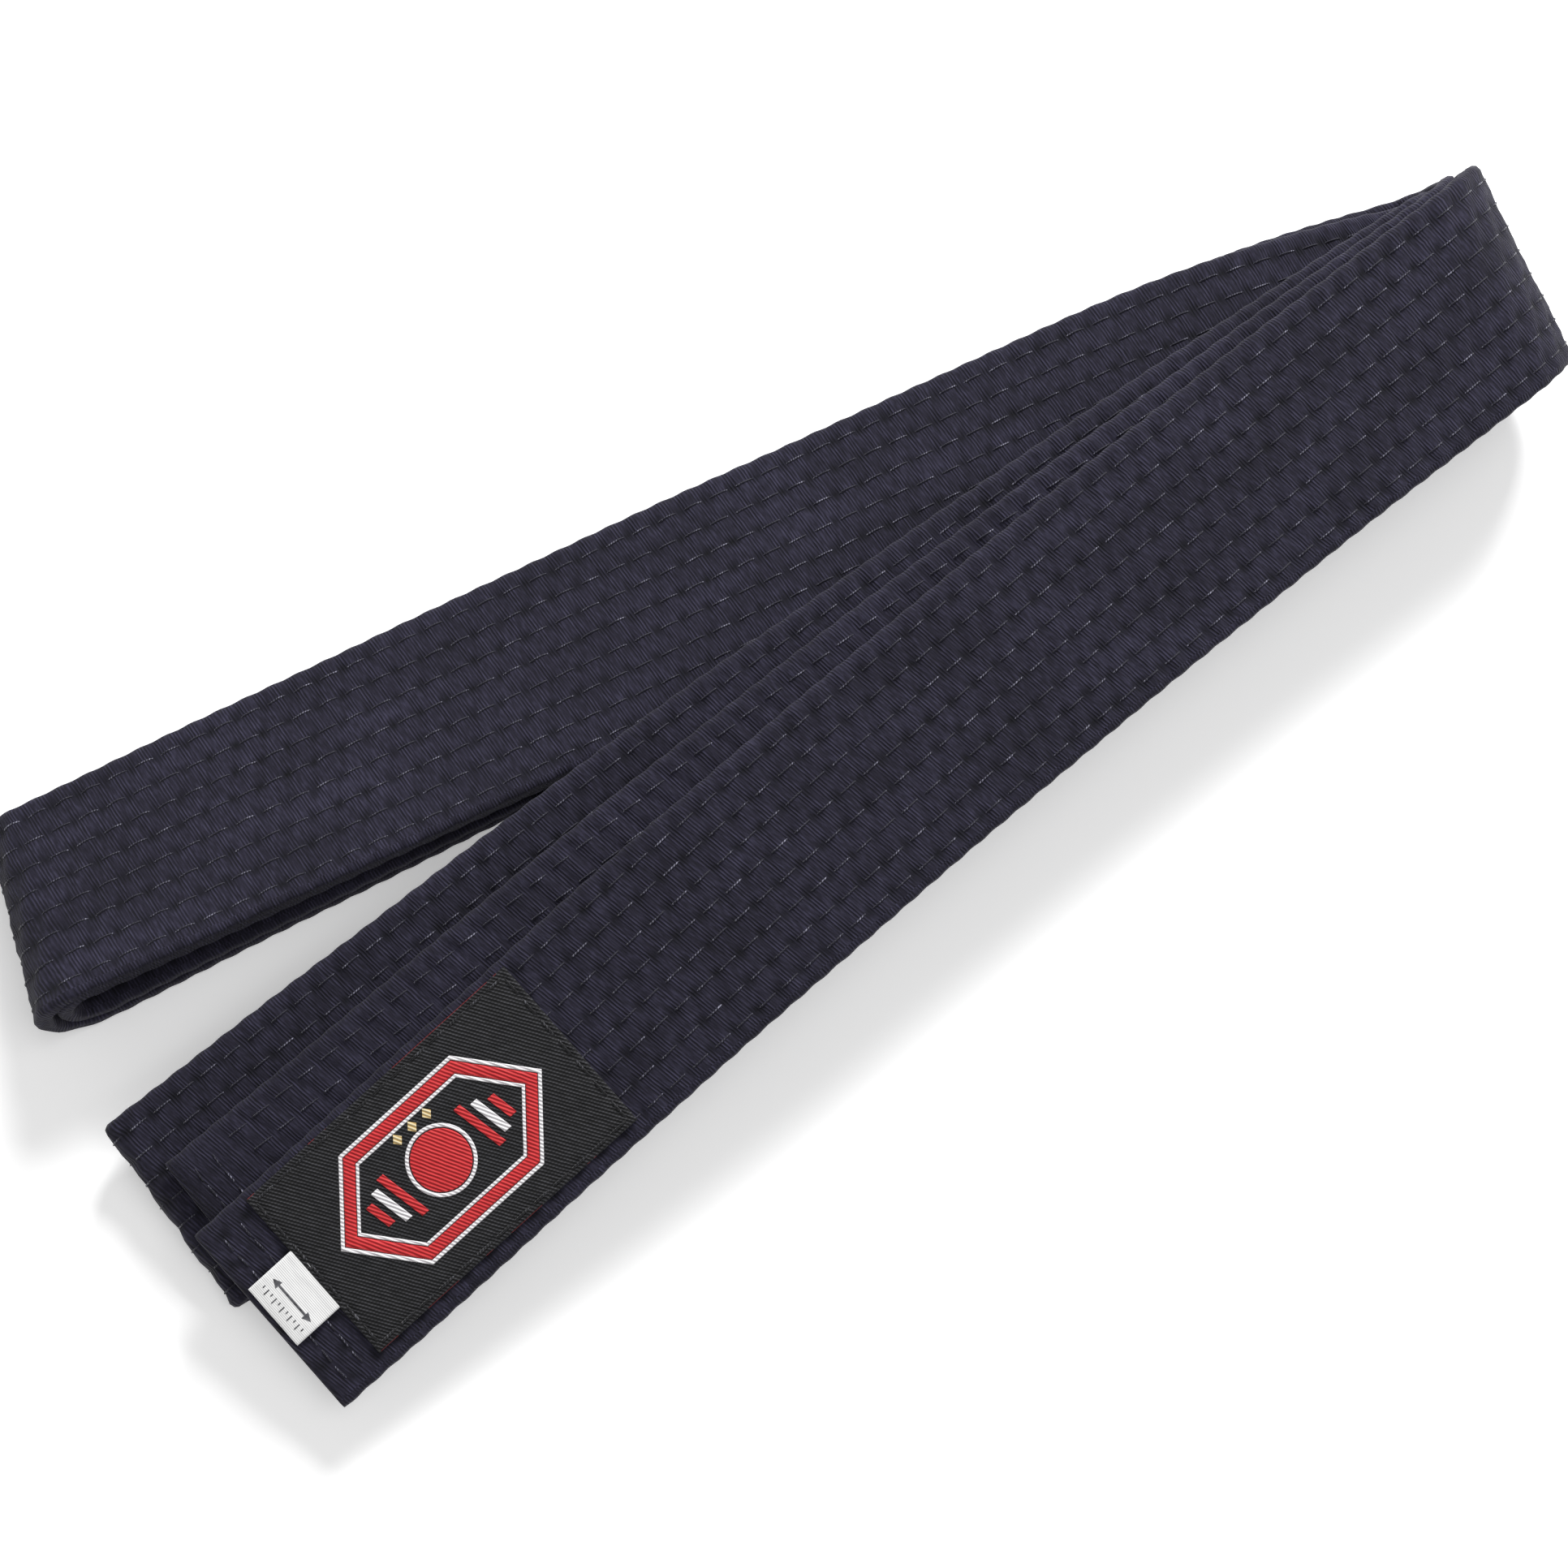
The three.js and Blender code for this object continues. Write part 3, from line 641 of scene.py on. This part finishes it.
def hem_row(from_end, side, at_label_tip):
    """The stitches of one hem row, across the belt at from_end from its labelled or plain tip."""
    count = int(2 * ROW_REACH / HEM_PITCH)
    t, dip = arch(THREAD_RINGS)
    v = -ROW_REACH + (np.arange(count)[:, None] + t) * 2 * ROW_REACH / count
    s = (from_end if at_label_tip else BELT_LENGTH - from_end) + 0.15 * waver(v, side, 9.0)
    h = side * (quilt_height(s, v, side) + HEM_LIFT + DIVE * dip)
    middle, across, normal = course(s.ravel())
    along = np.cross(normal, across)
    centres = middle + across * v.reshape(-1, 1) + normal * h.reshape(-1, 1) + SHIFT
    shape = v.shape + (3,)
    along, normal = along.reshape(shape), normal.reshape(shape)
    return thread_bodies(centres.reshape(shape), along, normal, THREAD_RADIUS)


for tip, at_label_tip in (("label_tip", True), ("plain_tip", False)):
    for number, from_end in enumerate(HEM_ROWS, 1):
        for side, kind in ((1, "needle"), (-1, "bobbin")):
            points, faces = hem_row(from_end, side, at_label_tip)
            node = f"{tip}_hem_{kind}_{number}"
            add_thread(f"{node}_stitches", node, points, faces, THREAD)

# ---- woven label --------------------------------------------------------------------------------------
# A black damask label with folded edges, sewn on near the tip. A dark red backing yarn shows in places
# along its long edges. It lies on the face, and its stitching draws in a groove round it.
LABEL_LENGTH = 60.4
LABEL_WIDTH = 35.2
LABEL_THICKNESS = 0.5
LABEL_TO_TIP = 11.4         # belt's end to the label's short edge
LABEL_SHIFT = 0.9           # the label's middle line from the belt's, towards the far edge
LABEL_GAP = 0.12            # above the belt's face
LABEL_RISE = HALF_THICK + LABEL_GAP
LABEL_RIM = 0.45            # width of the rounded rim
RIM_DROP = 0.3
LABEL_GROOVE = 0.13         # depth of the line the stitching draws in
LABEL_GROOVE_WIDTH = 0.5
LABEL_INSET = 1.2           # edge to the stitching
LABEL_PITCH = 4.6
LABEL_MIDDLE = LABEL_TO_TIP + LABEL_LENGTH / 2
FLOAT_ANGLE = -58.0
BACKING_SHOWS = 0.12        # width of the backing yarn's line


def label_top(x, y):
    """Height of the label's top at x, y from its middle: level, with a groove along the stitch line, a
    rounded rim and a faint wave where the puckered belt shows through."""
    rim = np.minimum(LABEL_LENGTH / 2 - np.abs(x), LABEL_WIDTH / 2 - np.abs(y))
    drop = RIM_DROP * np.clip(1 - rim / LABEL_RIM, 0, 1) ** 2
    groove = LABEL_GROOVE * np.exp(-((rim - LABEL_INSET) / LABEL_GROOVE_WIDTH) ** 2)
    groove = groove * (1.2 + 0.5 * np.cos(2 * np.pi * (x + y) / LABEL_PITCH))
    wave = 0.05 * np.cos(2 * np.pi * x / 11.0 + 0.3 * y) + 0.04 * np.cos(2 * np.pi * y / 9.0 + 0.2 * x)
    return LABEL_RISE + LABEL_THICKNESS - drop - groove + wave * np.clip(rim / 3, 0, 1)


def label_points():
    """Rings across the label: over its top from near to far, then back along its underside. The points lie
    a little closer together towards the edges."""
    x = np.linspace(-1, 1, 161)
    x = LABEL_LENGTH / 2 * np.sign(x) * (1 - (1 - np.abs(x)) ** 1.08)
    y = np.linspace(-1, 1, 97)
    y = LABEL_WIDTH / 2 * np.sign(y) * (1 - (1 - np.abs(y)) ** 1.08)
    xs, ys = np.meshgrid(x, np.concatenate([y, y[::-1][::12]]), indexing="ij")
    z = label_top(xs, ys)
    z[:, len(y):] = LABEL_RISE
    return np.stack([xs, ys, z], -1)


label_grid = label_points()
rows, columns = label_grid.shape[:2]
label_quads = ring_faces(rows, columns)[:, ::-1]
label_ends = [list(range(columns)), [(rows - 1) * columns + j for j in range(columns)][::-1]]
flat = label_grid.reshape(-1, 3)
label_uv = np.concatenate([flat[label_quads.ravel(), :2], flat[np.concatenate(label_ends), :2]]) * MM
woven_label = make_piece("woven_label_cloth", on_tip(flat + [LABEL_MIDDLE, LABEL_SHIFT, 0]),
                         label_quads.tolist() + label_ends, label_uv)


def black_damask():
    """Damask label weave: tight black warp in steep diagonal floats, with the red backing yarn at the
    folded long edges."""
    material, tree, shader = new_material("black_damask_weave")
    place = cloth_mm(tree)
    floats = ribs(tree, place, FLOAT_ANGLE, 0.6, Distortion=0.7, Detail=1.0)
    pick = ribs(tree, place, 8, 0.55, Distortion=0.6)
    slub = streaks(tree, place, FLOAT_ANGLE, 2.2, 0.5)
    tone = weighted(tree, (floats, 0.5), (pick, 0.15), (slub, 0.5))
    colour = ramp(tree, tone, 0.3, 0.95, "#0B0B0C", "#1B1B1D", "#4A4A4E")
    parts = add(tree, "ShaderNodeSeparateXYZ", {"Vector": place})
    from_middle = math(tree, "ABSOLUTE", parts.outputs["Y"])
    edge = math(tree, "GREATER_THAN", from_middle, LABEL_WIDTH / 2 - BACKING_SHOWS)
    broken = math(tree, "GREATER_THAN", streaks(tree, place, 0, 7.0, 4.0), 0.5)
    colour = darker(tree, colour, math(tree, "MULTIPLY", edge, broken), "#6E1D20")
    height = weighted(tree, (floats, 1.0), (pick, 0.3), (slub, 0.6))
    finish_cloth(tree, shader, colour, height, 0.09, 0.75, 0.08)
    return material


woven_label.data.materials.append(black_damask())
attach(woven_label, "belt")
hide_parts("woven_label")

# ---- label emblem -------------------------------------------------------------------------------------
# A plain emblem of brocaded floats: a long six-sided frame round a disc between slanted bars, with small
# diamonds above. The floats stand a little proud of the ground.
FLOAT_RISE = 0.16           # above the label's top
FLOAT_DEPTH = 0.15          # how far the floats' flat base lies below it
FRAME_LENGTH = 47.0
FRAME_WIDTH = 25.0
FRAME_SHOULDER = 13.0       # where the frame's long sides meet its points
BAR_LEAN = 0.2              # sideways for each mm down
BAR_WIDTH = 1.5
BROCADE_ANGLE = -62.0


def crown(q):
    """Height across a band of floats, from 0 at its rims to 1 in the middle: one less the sixth power."""
    return 1 - np.abs(2 * q - 1) ** 6


def mound(outline, rise):
    """A low closed mound over a convex outline: rings that shrink towards its middle as they rise, and a
    flat base just under the label's top."""
    outline = np.asarray(outline, float)
    middle = outline.mean(0)
    inset = FLOAT_RISE / np.abs(outline - middle).max()
    levels = np.array([[1, -FLOAT_DEPTH], [1, 0.35 * rise], [1 - 0.5 * inset, 0.9 * rise],
                       [1 - 1.2 * inset, rise], [0.6, rise], [0.2, rise]])
    flat = middle + (outline - middle) * levels[:, :1, None]
    z = label_top(flat[..., 0], flat[..., 1]) + levels[:, 1:]
    count = len(outline)
    faces = ring_faces(len(levels), count).tolist()
    faces += [list(range(count))[::-1], [(len(levels) - 1) * count + j for j in range(count)]]
    return np.concatenate([flat, z[..., None]], -1).reshape(-1, 3), faces


def dense(corners, per_side=6):
    """A closed outline with each side cut into equal parts, anticlockwise."""
    corners = np.asarray(corners, float)
    t = (np.arange(per_side) / per_side)[:, None]
    return np.concatenate([a + (b - a) * t for a, b in zip(corners, np.roll(corners, -1, 0))])


def disc(radius, parts=40):
    """A circle about the emblem's middle."""
    turn = 2 * np.pi * np.arange(parts) / parts
    return radius * np.stack([np.cos(turn), np.sin(turn)], 1)


def six_sided(inset):
    """The frame's outline, moved inwards all round by inset."""
    slant = np.hypot(FRAME_LENGTH / 2 - FRAME_SHOULDER, FRAME_WIDTH / 2)
    point = FRAME_LENGTH / 2 - inset * slant / (FRAME_WIDTH / 2)
    rise = FRAME_WIDTH / 2 - inset
    shoulder = point - (FRAME_LENGTH / 2 - FRAME_SHOULDER) * rise / (FRAME_WIDTH / 2)
    corners = [(point, 0), (shoulder, rise), (-shoulder, rise), (-point, 0), (-shoulder, -rise),
               (shoulder, -rise)]
    return dense(corners, 16)


def band(outer, inner, rise):
    """A closed band of floats between two outlines with as many points: rings across it, crowned."""
    q = np.linspace(0, 1, 9)
    across = np.concatenate([q, q[::-1][::4]])
    up = np.concatenate([rise * crown(q), np.full(3, -FLOAT_DEPTH)])
    flat = outer[:, None] + (inner - outer)[:, None] * across[:, None]
    z = label_top(flat[..., 0], flat[..., 1]) + up
    points = np.concatenate([flat, z[..., None]], -1)
    count = len(outer) * len(across)
    faces = ring_faces(len(outer) + 1, len(across)) % count
    return points.reshape(-1, 3), faces[:, ::-1].tolist()


def gather(parts):
    """Several point and face lists as one."""
    points, faces, start = [], [], 0
    for some, theirs in parts:
        points.append(some)
        faces += [[start + i for i in face] for face in theirs]
        start += len(some)
    return np.concatenate(points), faces


def brocade(name, dark, middle, light):
    """Brocaded floats of lustrous yarn over the black ground: steep diagonal lines, with painted shade
    between them and painted highlight on their crowns.
    """
    material, tree, shader = new_material(name)
    place = cloth_mm(tree)
    floats = ribs(tree, place, BROCADE_ANGLE, 0.62, Distortion=0.8, Detail=1.0)
    slub = streaks(tree, place, BROCADE_ANGLE, 2.0, 0.4)
    # painted shade to painted highlight across each float line, round the yarn's own middle colour
    colour = ramp(tree, weighted(tree, (floats, 0.6), (slub, 0.5)), 0.2, 0.9, dark, middle, light)
    finish_cloth(tree, shader, colour, floats, 0.1, 0.55, 0.15)
    return material


# in each: painted shade, the yarn's own colour, painted highlight
RED = brocade("red_brocade_floats", "#8E0F15", "#C7242B", "#E4484A")
WHITE = brocade("white_brocade_floats", "#B9B4B8", "#E9E7EA", "#FFFFFF")
GOLD = brocade("gold_brocade_floats", "#A98A4E", "#D9C08A", "#F2E6C4")


def add_floats(name, parts, material):
    """Makes the floats of one colour."""
    points, faces = gather(parts)
    corners = np.concatenate([np.asarray(face) for face in faces])
    uv = points[corners, :2] * MM
    piece = make_piece(name, on_tip(points + [LABEL_MIDDLE, LABEL_SHIFT, 0]), faces, uv)
    piece.data.materials.append(material)
    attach(piece, "belt")


def slanted_bar(x, length):
    """A bar across the frame, centred at x, that leans a little, its lower end towards positive x."""
    return dense([(x + BAR_LEAN * down * length / 2 + side * BAR_WIDTH / 2, -down * length / 2)
                  for down, side in ((1, -1), (1, 1), (-1, 1), (-1, -1))], 5)


white_parts = [
    band(six_sided(0.0), six_sided(0.7), FLOAT_RISE),
    band(six_sided(3.0), six_sided(3.6), FLOAT_RISE),
    band(disc(6.4), disc(5.7), FLOAT_RISE),
]
red_parts = [band(six_sided(0.8), six_sided(2.9), FLOAT_RISE), mound(disc(5.5), FLOAT_RISE)]
for x, length, parts in ((9.0, 10.0, red_parts), (11.6, 7.6, white_parts), (14.2, 5.0, red_parts)):
    for sign in (-1, 1):
        parts.append(mound(slanted_bar(sign * x, length), FLOAT_RISE))
diamond = dense([(1.0, 0), (0, 1.2), (-1.0, 0), (0, -1.2)], 4)
DIAMOND_STEP = 3.4
DIAMOND_RISE = FLOAT_RISE * 0.9
DIAMONDS_Y = 7.7
gold_parts = [mound(diamond + [i * DIAMOND_STEP, DIAMONDS_Y], DIAMOND_RISE) for i in (-1, 0, 1)]
add_floats("emblem_red_floats", red_parts, RED)
add_floats("emblem_white_floats", white_parts, WHITE)
add_floats("emblem_gold_floats", gold_parts, GOLD)

# ---- label stitching ----------------------------------------------------------------------------------
# One row of black lockstitch round the label, a little way in from its edge. The thread is thicker than
# the quilting thread, and its stitches dive into the groove they draw in.
LABEL_THREAD_RADIUS = 0.22
LABEL_STITCH_LIFT = 0.14
LABEL_STITCH_DIVE = 0.42


def label_row():
    """Stitches end to end along the four sides of the label, with a hole at each corner."""
    x, y = LABEL_LENGTH / 2 - LABEL_INSET, LABEL_WIDTH / 2 - LABEL_INSET
    corners = np.array([(x, y), (-x, y), (-x, -y), (x, -y)])
    holes = []
    for a, b in zip(corners, np.roll(corners, -1, 0)):
        count = round(np.linalg.norm(b - a) / LABEL_PITCH)
        holes.append(a + (b - a) * (np.arange(count) / count)[:, None])
    holes = np.concatenate(holes)
    t, dip = arch(THREAD_RINGS)
    step = np.roll(holes, -1, 0) - holes
    flat = holes[:, None] + step[:, None] * t[:, None]
    z = label_top(flat[..., 0], flat[..., 1]) + LABEL_STITCH_LIFT + LABEL_STITCH_DIVE * dip
    points = on_tip(np.concatenate([flat, z[..., None]], -1) + [LABEL_MIDDLE, LABEL_SHIFT, 0])
    along = unit(step)
    sideways = -along[:, 1:] * tip_along + along[:, :1] * tip_across
    sideways = np.broadcast_to(sideways[:, None], points.shape)
    return thread_bodies(points, sideways, np.broadcast_to(tip_off, points.shape), LABEL_THREAD_RADIUS)


points, faces = label_row()
# the light colour is painted glint on the black thread
BLACK_THREAD = spun_polyester("black_spun_polyester_thread", "#17171A", "#5A5A60")
add_thread("label_stitches", "label_stitch", points, faces, BLACK_THREAD)

# ---- size tag -----------------------------------------------------------------------------------------
# A short piece of white polyester satin tape, caught under the label's edge, where it could flip up like a
# page. Its print is a plain length mark: an arrow with two heads over a row of ticks.
TAG_LENGTH = 9.2
TAG_WIDTH = 13.0
TAG_THICKNESS = 0.28
TAG_TAIL = 1.6              # how far it goes back under the label, past its folding line
TAG_BOW = 0.35              # how far the middle bows up off the belt
TAG_RIPPLE = 0.04           # of its free end, across the tape
RIPPLE_TURN = 0.9           # radians for each mm across
TAG_ROUND = 0.3             # rounding of the free end
RIM_ROUND = 0.15            # and of the long edges


def tag_height(x):
    """Height of the tag's underside at x from the folding line towards the tip: it rises in a slow bow."""
    out = np.clip(x / TAG_LENGTH, 0, 1)
    tucked = 0.06 * np.clip(-x, 0, 1)
    return HALF_THICK + TAG_GAP - tucked + TAG_BOW * np.sin(np.pi * out) * out


def tag_points():
    """Rings across the tape, from its tail under the label to its folded free edge: over the top from near
    to far, then back along the underside. The free edge is rounded by a quarter ellipse."""
    rounded = TAG_LENGTH - TAG_ROUND * np.cos(np.linspace(0.3, 1.5, 6))
    x = np.concatenate([np.linspace(-TAG_TAIL, TAG_LENGTH - TAG_ROUND, 60), rounded])
    y = np.linspace(-1, 1, 41)
    y = TAG_WIDTH / 2 * np.concatenate([y, y[::-1]])
    past = np.clip((x - TAG_LENGTH + TAG_ROUND) / (TAG_ROUND + 0.01), 0, 1)
    thick = TAG_THICKNESS * np.sqrt(np.clip(1 - past ** 2, 0.02, 1))
    xs, ys = np.meshgrid(x, y, indexing="ij")
    past = np.clip((np.abs(ys) - TAG_WIDTH / 2 + RIM_ROUND) / (RIM_ROUND + 0.01), 0, 1)
    rim = np.sqrt(np.clip(1 - past ** 2, 0.05, 1))
    top = np.arange(len(y)) < len(y) // 2
    z = tag_height(xs) + TAG_THICKNESS / 2 + np.where(top, 0.5, -0.5) * thick[:, None] * rim
    z = z + TAG_RIPPLE * np.sin(ys * RIPPLE_TURN) * np.clip(xs / TAG_LENGTH, 0, 1)
    return np.stack([TAG_LINE - xs, ys + TAG_SHIFT, z], -1)


tag_grid = tag_points()
rows, columns = tag_grid.shape[:2]
tag_quads = ring_faces(rows, columns)
tag_ends = [list(range(columns))[::-1], [(rows - 1) * columns + j for j in range(columns)]]
flat = tag_grid.reshape(-1, 3)
tag_uv = np.concatenate([flat[tag_quads.ravel(), :2], flat[np.concatenate(tag_ends), :2]]) * MM
size_tag = make_piece("size_tag_tape", on_tip(flat), tag_quads.tolist() + tag_ends, tag_uv)


def satin_tape():
    """White polyester satin tape: fine weft lines across it and a soft gloss along the floats."""
    material, tree, shader = new_material("white_satin_tape")
    place = cloth_mm(tree)
    weft = ribs(tree, place, 90, 0.35, Distortion=0.4)
    slub = streaks(tree, place, 90, 4.0, 0.8)
    tone = weighted(tree, (weft, 0.3), (slub, 0.6))
    colour = ramp(tree, tone, 0.2, 0.8, "#DCDCDD", "#F4F4F3", "#FFFFFF")
    finish_cloth(tree, shader, colour, weft, 0.03, 0.45, 0.1)
    return material


size_tag.data.materials.append(satin_tape())
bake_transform(size_tag)
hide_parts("size_tag")

PRINT_RISE = 0.04           # above the tape
PRINT_DEPTH = 0.03          # how far the print's underside lies in it


def print_mark(outline):
    """A thin printed shape on the tag: its outline at two heights, closed above and below."""
    x, y = outline[:, 0], outline[:, 1]
    z = tag_height(x) + TAG_THICKNESS + TAG_RIPPLE * np.sin(y * RIPPLE_TURN) * x / TAG_LENGTH
    low = np.stack([TAG_LINE - x, y + TAG_SHIFT, z - PRINT_DEPTH], 1)
    high = low + [0, 0, PRINT_DEPTH + PRINT_RISE]
    count = len(outline)
    faces = ring_faces(2, count).tolist() + [list(range(count))[::-1], list(range(count, 2 * count))]
    return np.concatenate([low, high]), [face[::-1] for face in faces]


def box_outline(x, y, length, width):
    """A rectangle about x, y, with its length along x."""
    return dense([(x - length / 2, y - width / 2), (x + length / 2, y - width / 2),
                  (x + length / 2, y + width / 2), (x - length / 2, y + width / 2)], 5)


ARROW_X = 4.6               # from the folding line
ARROW_LENGTH = 10.0
HEAD_LENGTH = 1.6
HEAD_HALF = 0.8
TICKS_X = 7.0
marks = [print_mark(box_outline(ARROW_X, 0, 0.4, 7.0))]
for side in (1, -1):
    back, point = side * (ARROW_LENGTH / 2 - HEAD_LENGTH), side * ARROW_LENGTH / 2
    head = [(ARROW_X - HEAD_HALF, back), (ARROW_X, point), (ARROW_X + HEAD_HALF, back)]
    marks.append(print_mark(dense(head[::side], 4)))
for i in range(-5, 6):
    short = i % 2
    marks.append(print_mark(box_outline(TICKS_X - 0.35 * short, i * 1.0, 1.3 - 0.7 * short, 0.22)))
points, faces = gather(marks)
tag_print = make_piece("size_tag_print", on_tip(points), faces, smooth=False)


def tag_ink():
    """Thermal transfer ink, dark grey, worn thin in places."""
    material, tree, shader = new_material("grey_transfer_ink")
    place = add(tree, "ShaderNodeTexCoord").outputs["Object"]
    worn = add(tree, "ShaderNodeTexNoise", {"Vector": place}, Scale=900.0, Detail=3.0).outputs["Fac"]
    tree.links.new(ramp(tree, worn, 0.3, 0.75, "#2A2A2E", "#77777C"), shader.inputs["Base Color"])
    shader.inputs["Roughness"].default_value = 0.6
    return material


tag_print.data.materials.append(tag_ink())
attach(tag_print, "tag")

# ---- floor, light and camera --------------------------------------------------------------------------
# White paper lit a little from below, as on a light table, one light from beyond the thick fold, a broad
# fill from above, and a camera nearly overhead.
FLOOR_REACH = 3.0
FLOOR_Z = -0.0003           # just clear of the belt's underside
floor_mesh = bpy.data.meshes.new("floor")
signs = ((-1, -1), (1, -1), (1, 1), (-1, 1))
floor_corners = [(x * FLOOR_REACH, y * FLOOR_REACH, FLOOR_Z) for x, y in signs]
floor_mesh.from_pydata(floor_corners, [], [(0, 1, 2, 3)])
floor = bpy.data.objects.new("floor", floor_mesh)
bpy.context.scene.collection.objects.link(floor)
# smooth white studio paper
floor_material, _, floor_shader = new_material("pale_studio_paper")
floor_shader.inputs["Base Color"].default_value = linear("#F4F4F4")
floor_shader.inputs["Roughness"].default_value = 0.9
floor_shader.inputs["Emission Color"].default_value = linear("#FFFFFF")
floor_shader.inputs["Emission Strength"].default_value = 0.3
floor_mesh.materials.append(floor_material)

world = bpy.data.worlds.new("studio")
world.use_nodes = True
background = world.node_tree.nodes["Background"]
background.inputs["Color"].default_value = (1.0, 1.0, 1.0, 1.0)
background.inputs["Strength"].default_value = 0.3
bpy.context.scene.world = world
bpy.context.scene.view_settings.view_transform = "Standard"


def area_light(name, place, size, power):
    """A square light that faces the belt's middle."""
    lamp = bpy.data.lights.new(name, "AREA")
    lamp.size, lamp.energy = size, power
    obj = bpy.data.objects.new(name, lamp)
    obj.location = place
    obj.rotation_euler = (-Vector(place)).to_track_quat("-Z", "Y").to_euler()
    bpy.context.scene.collection.objects.link(obj)


area_light("soft_key", (0.85, 0.75, 0.85), 0.4, 23.0)
area_light("soft_fill", (0.4, -0.3, 1.5), 1.0, 8.0)

CAMERA_ELEVATION = 79.0
CAMERA_AZIMUTH = -32.21
CAMERA_DISTANCE = 427.7
CAMERA_TARGET = np.array([-152.57, -5.33, 10.0]) + SHIFT
FOCAL_SHARE = 1.492754      # focal length over the sensor's width
SENSOR = 36.0
up_angle, turn = np.radians(CAMERA_ELEVATION), np.radians(CAMERA_AZIMUTH)
level = np.array([-np.sin(turn), np.cos(turn), 0.0])
forward = level * np.cos(up_angle) - np.array([0.0, 0.0, np.sin(up_angle)])
right = np.array([np.cos(turn), np.sin(turn), 0.0])
camera_data = bpy.data.cameras.new("camera")
camera_data.sensor_width = SENSOR
camera_data.lens = FOCAL_SHARE * SENSOR
camera_data.clip_start = 0.01
camera = bpy.data.objects.new("camera", camera_data)
axes = np.stack([right, np.cross(right, forward), -forward], 1)
camera.matrix_world = (Matrix.Translation(Vector((CAMERA_TARGET - forward * CAMERA_DISTANCE) * MM))
                       @ Matrix(axes.tolist()).to_4x4())
bpy.context.scene.collection.objects.link(camera)
bpy.context.scene.camera = camera
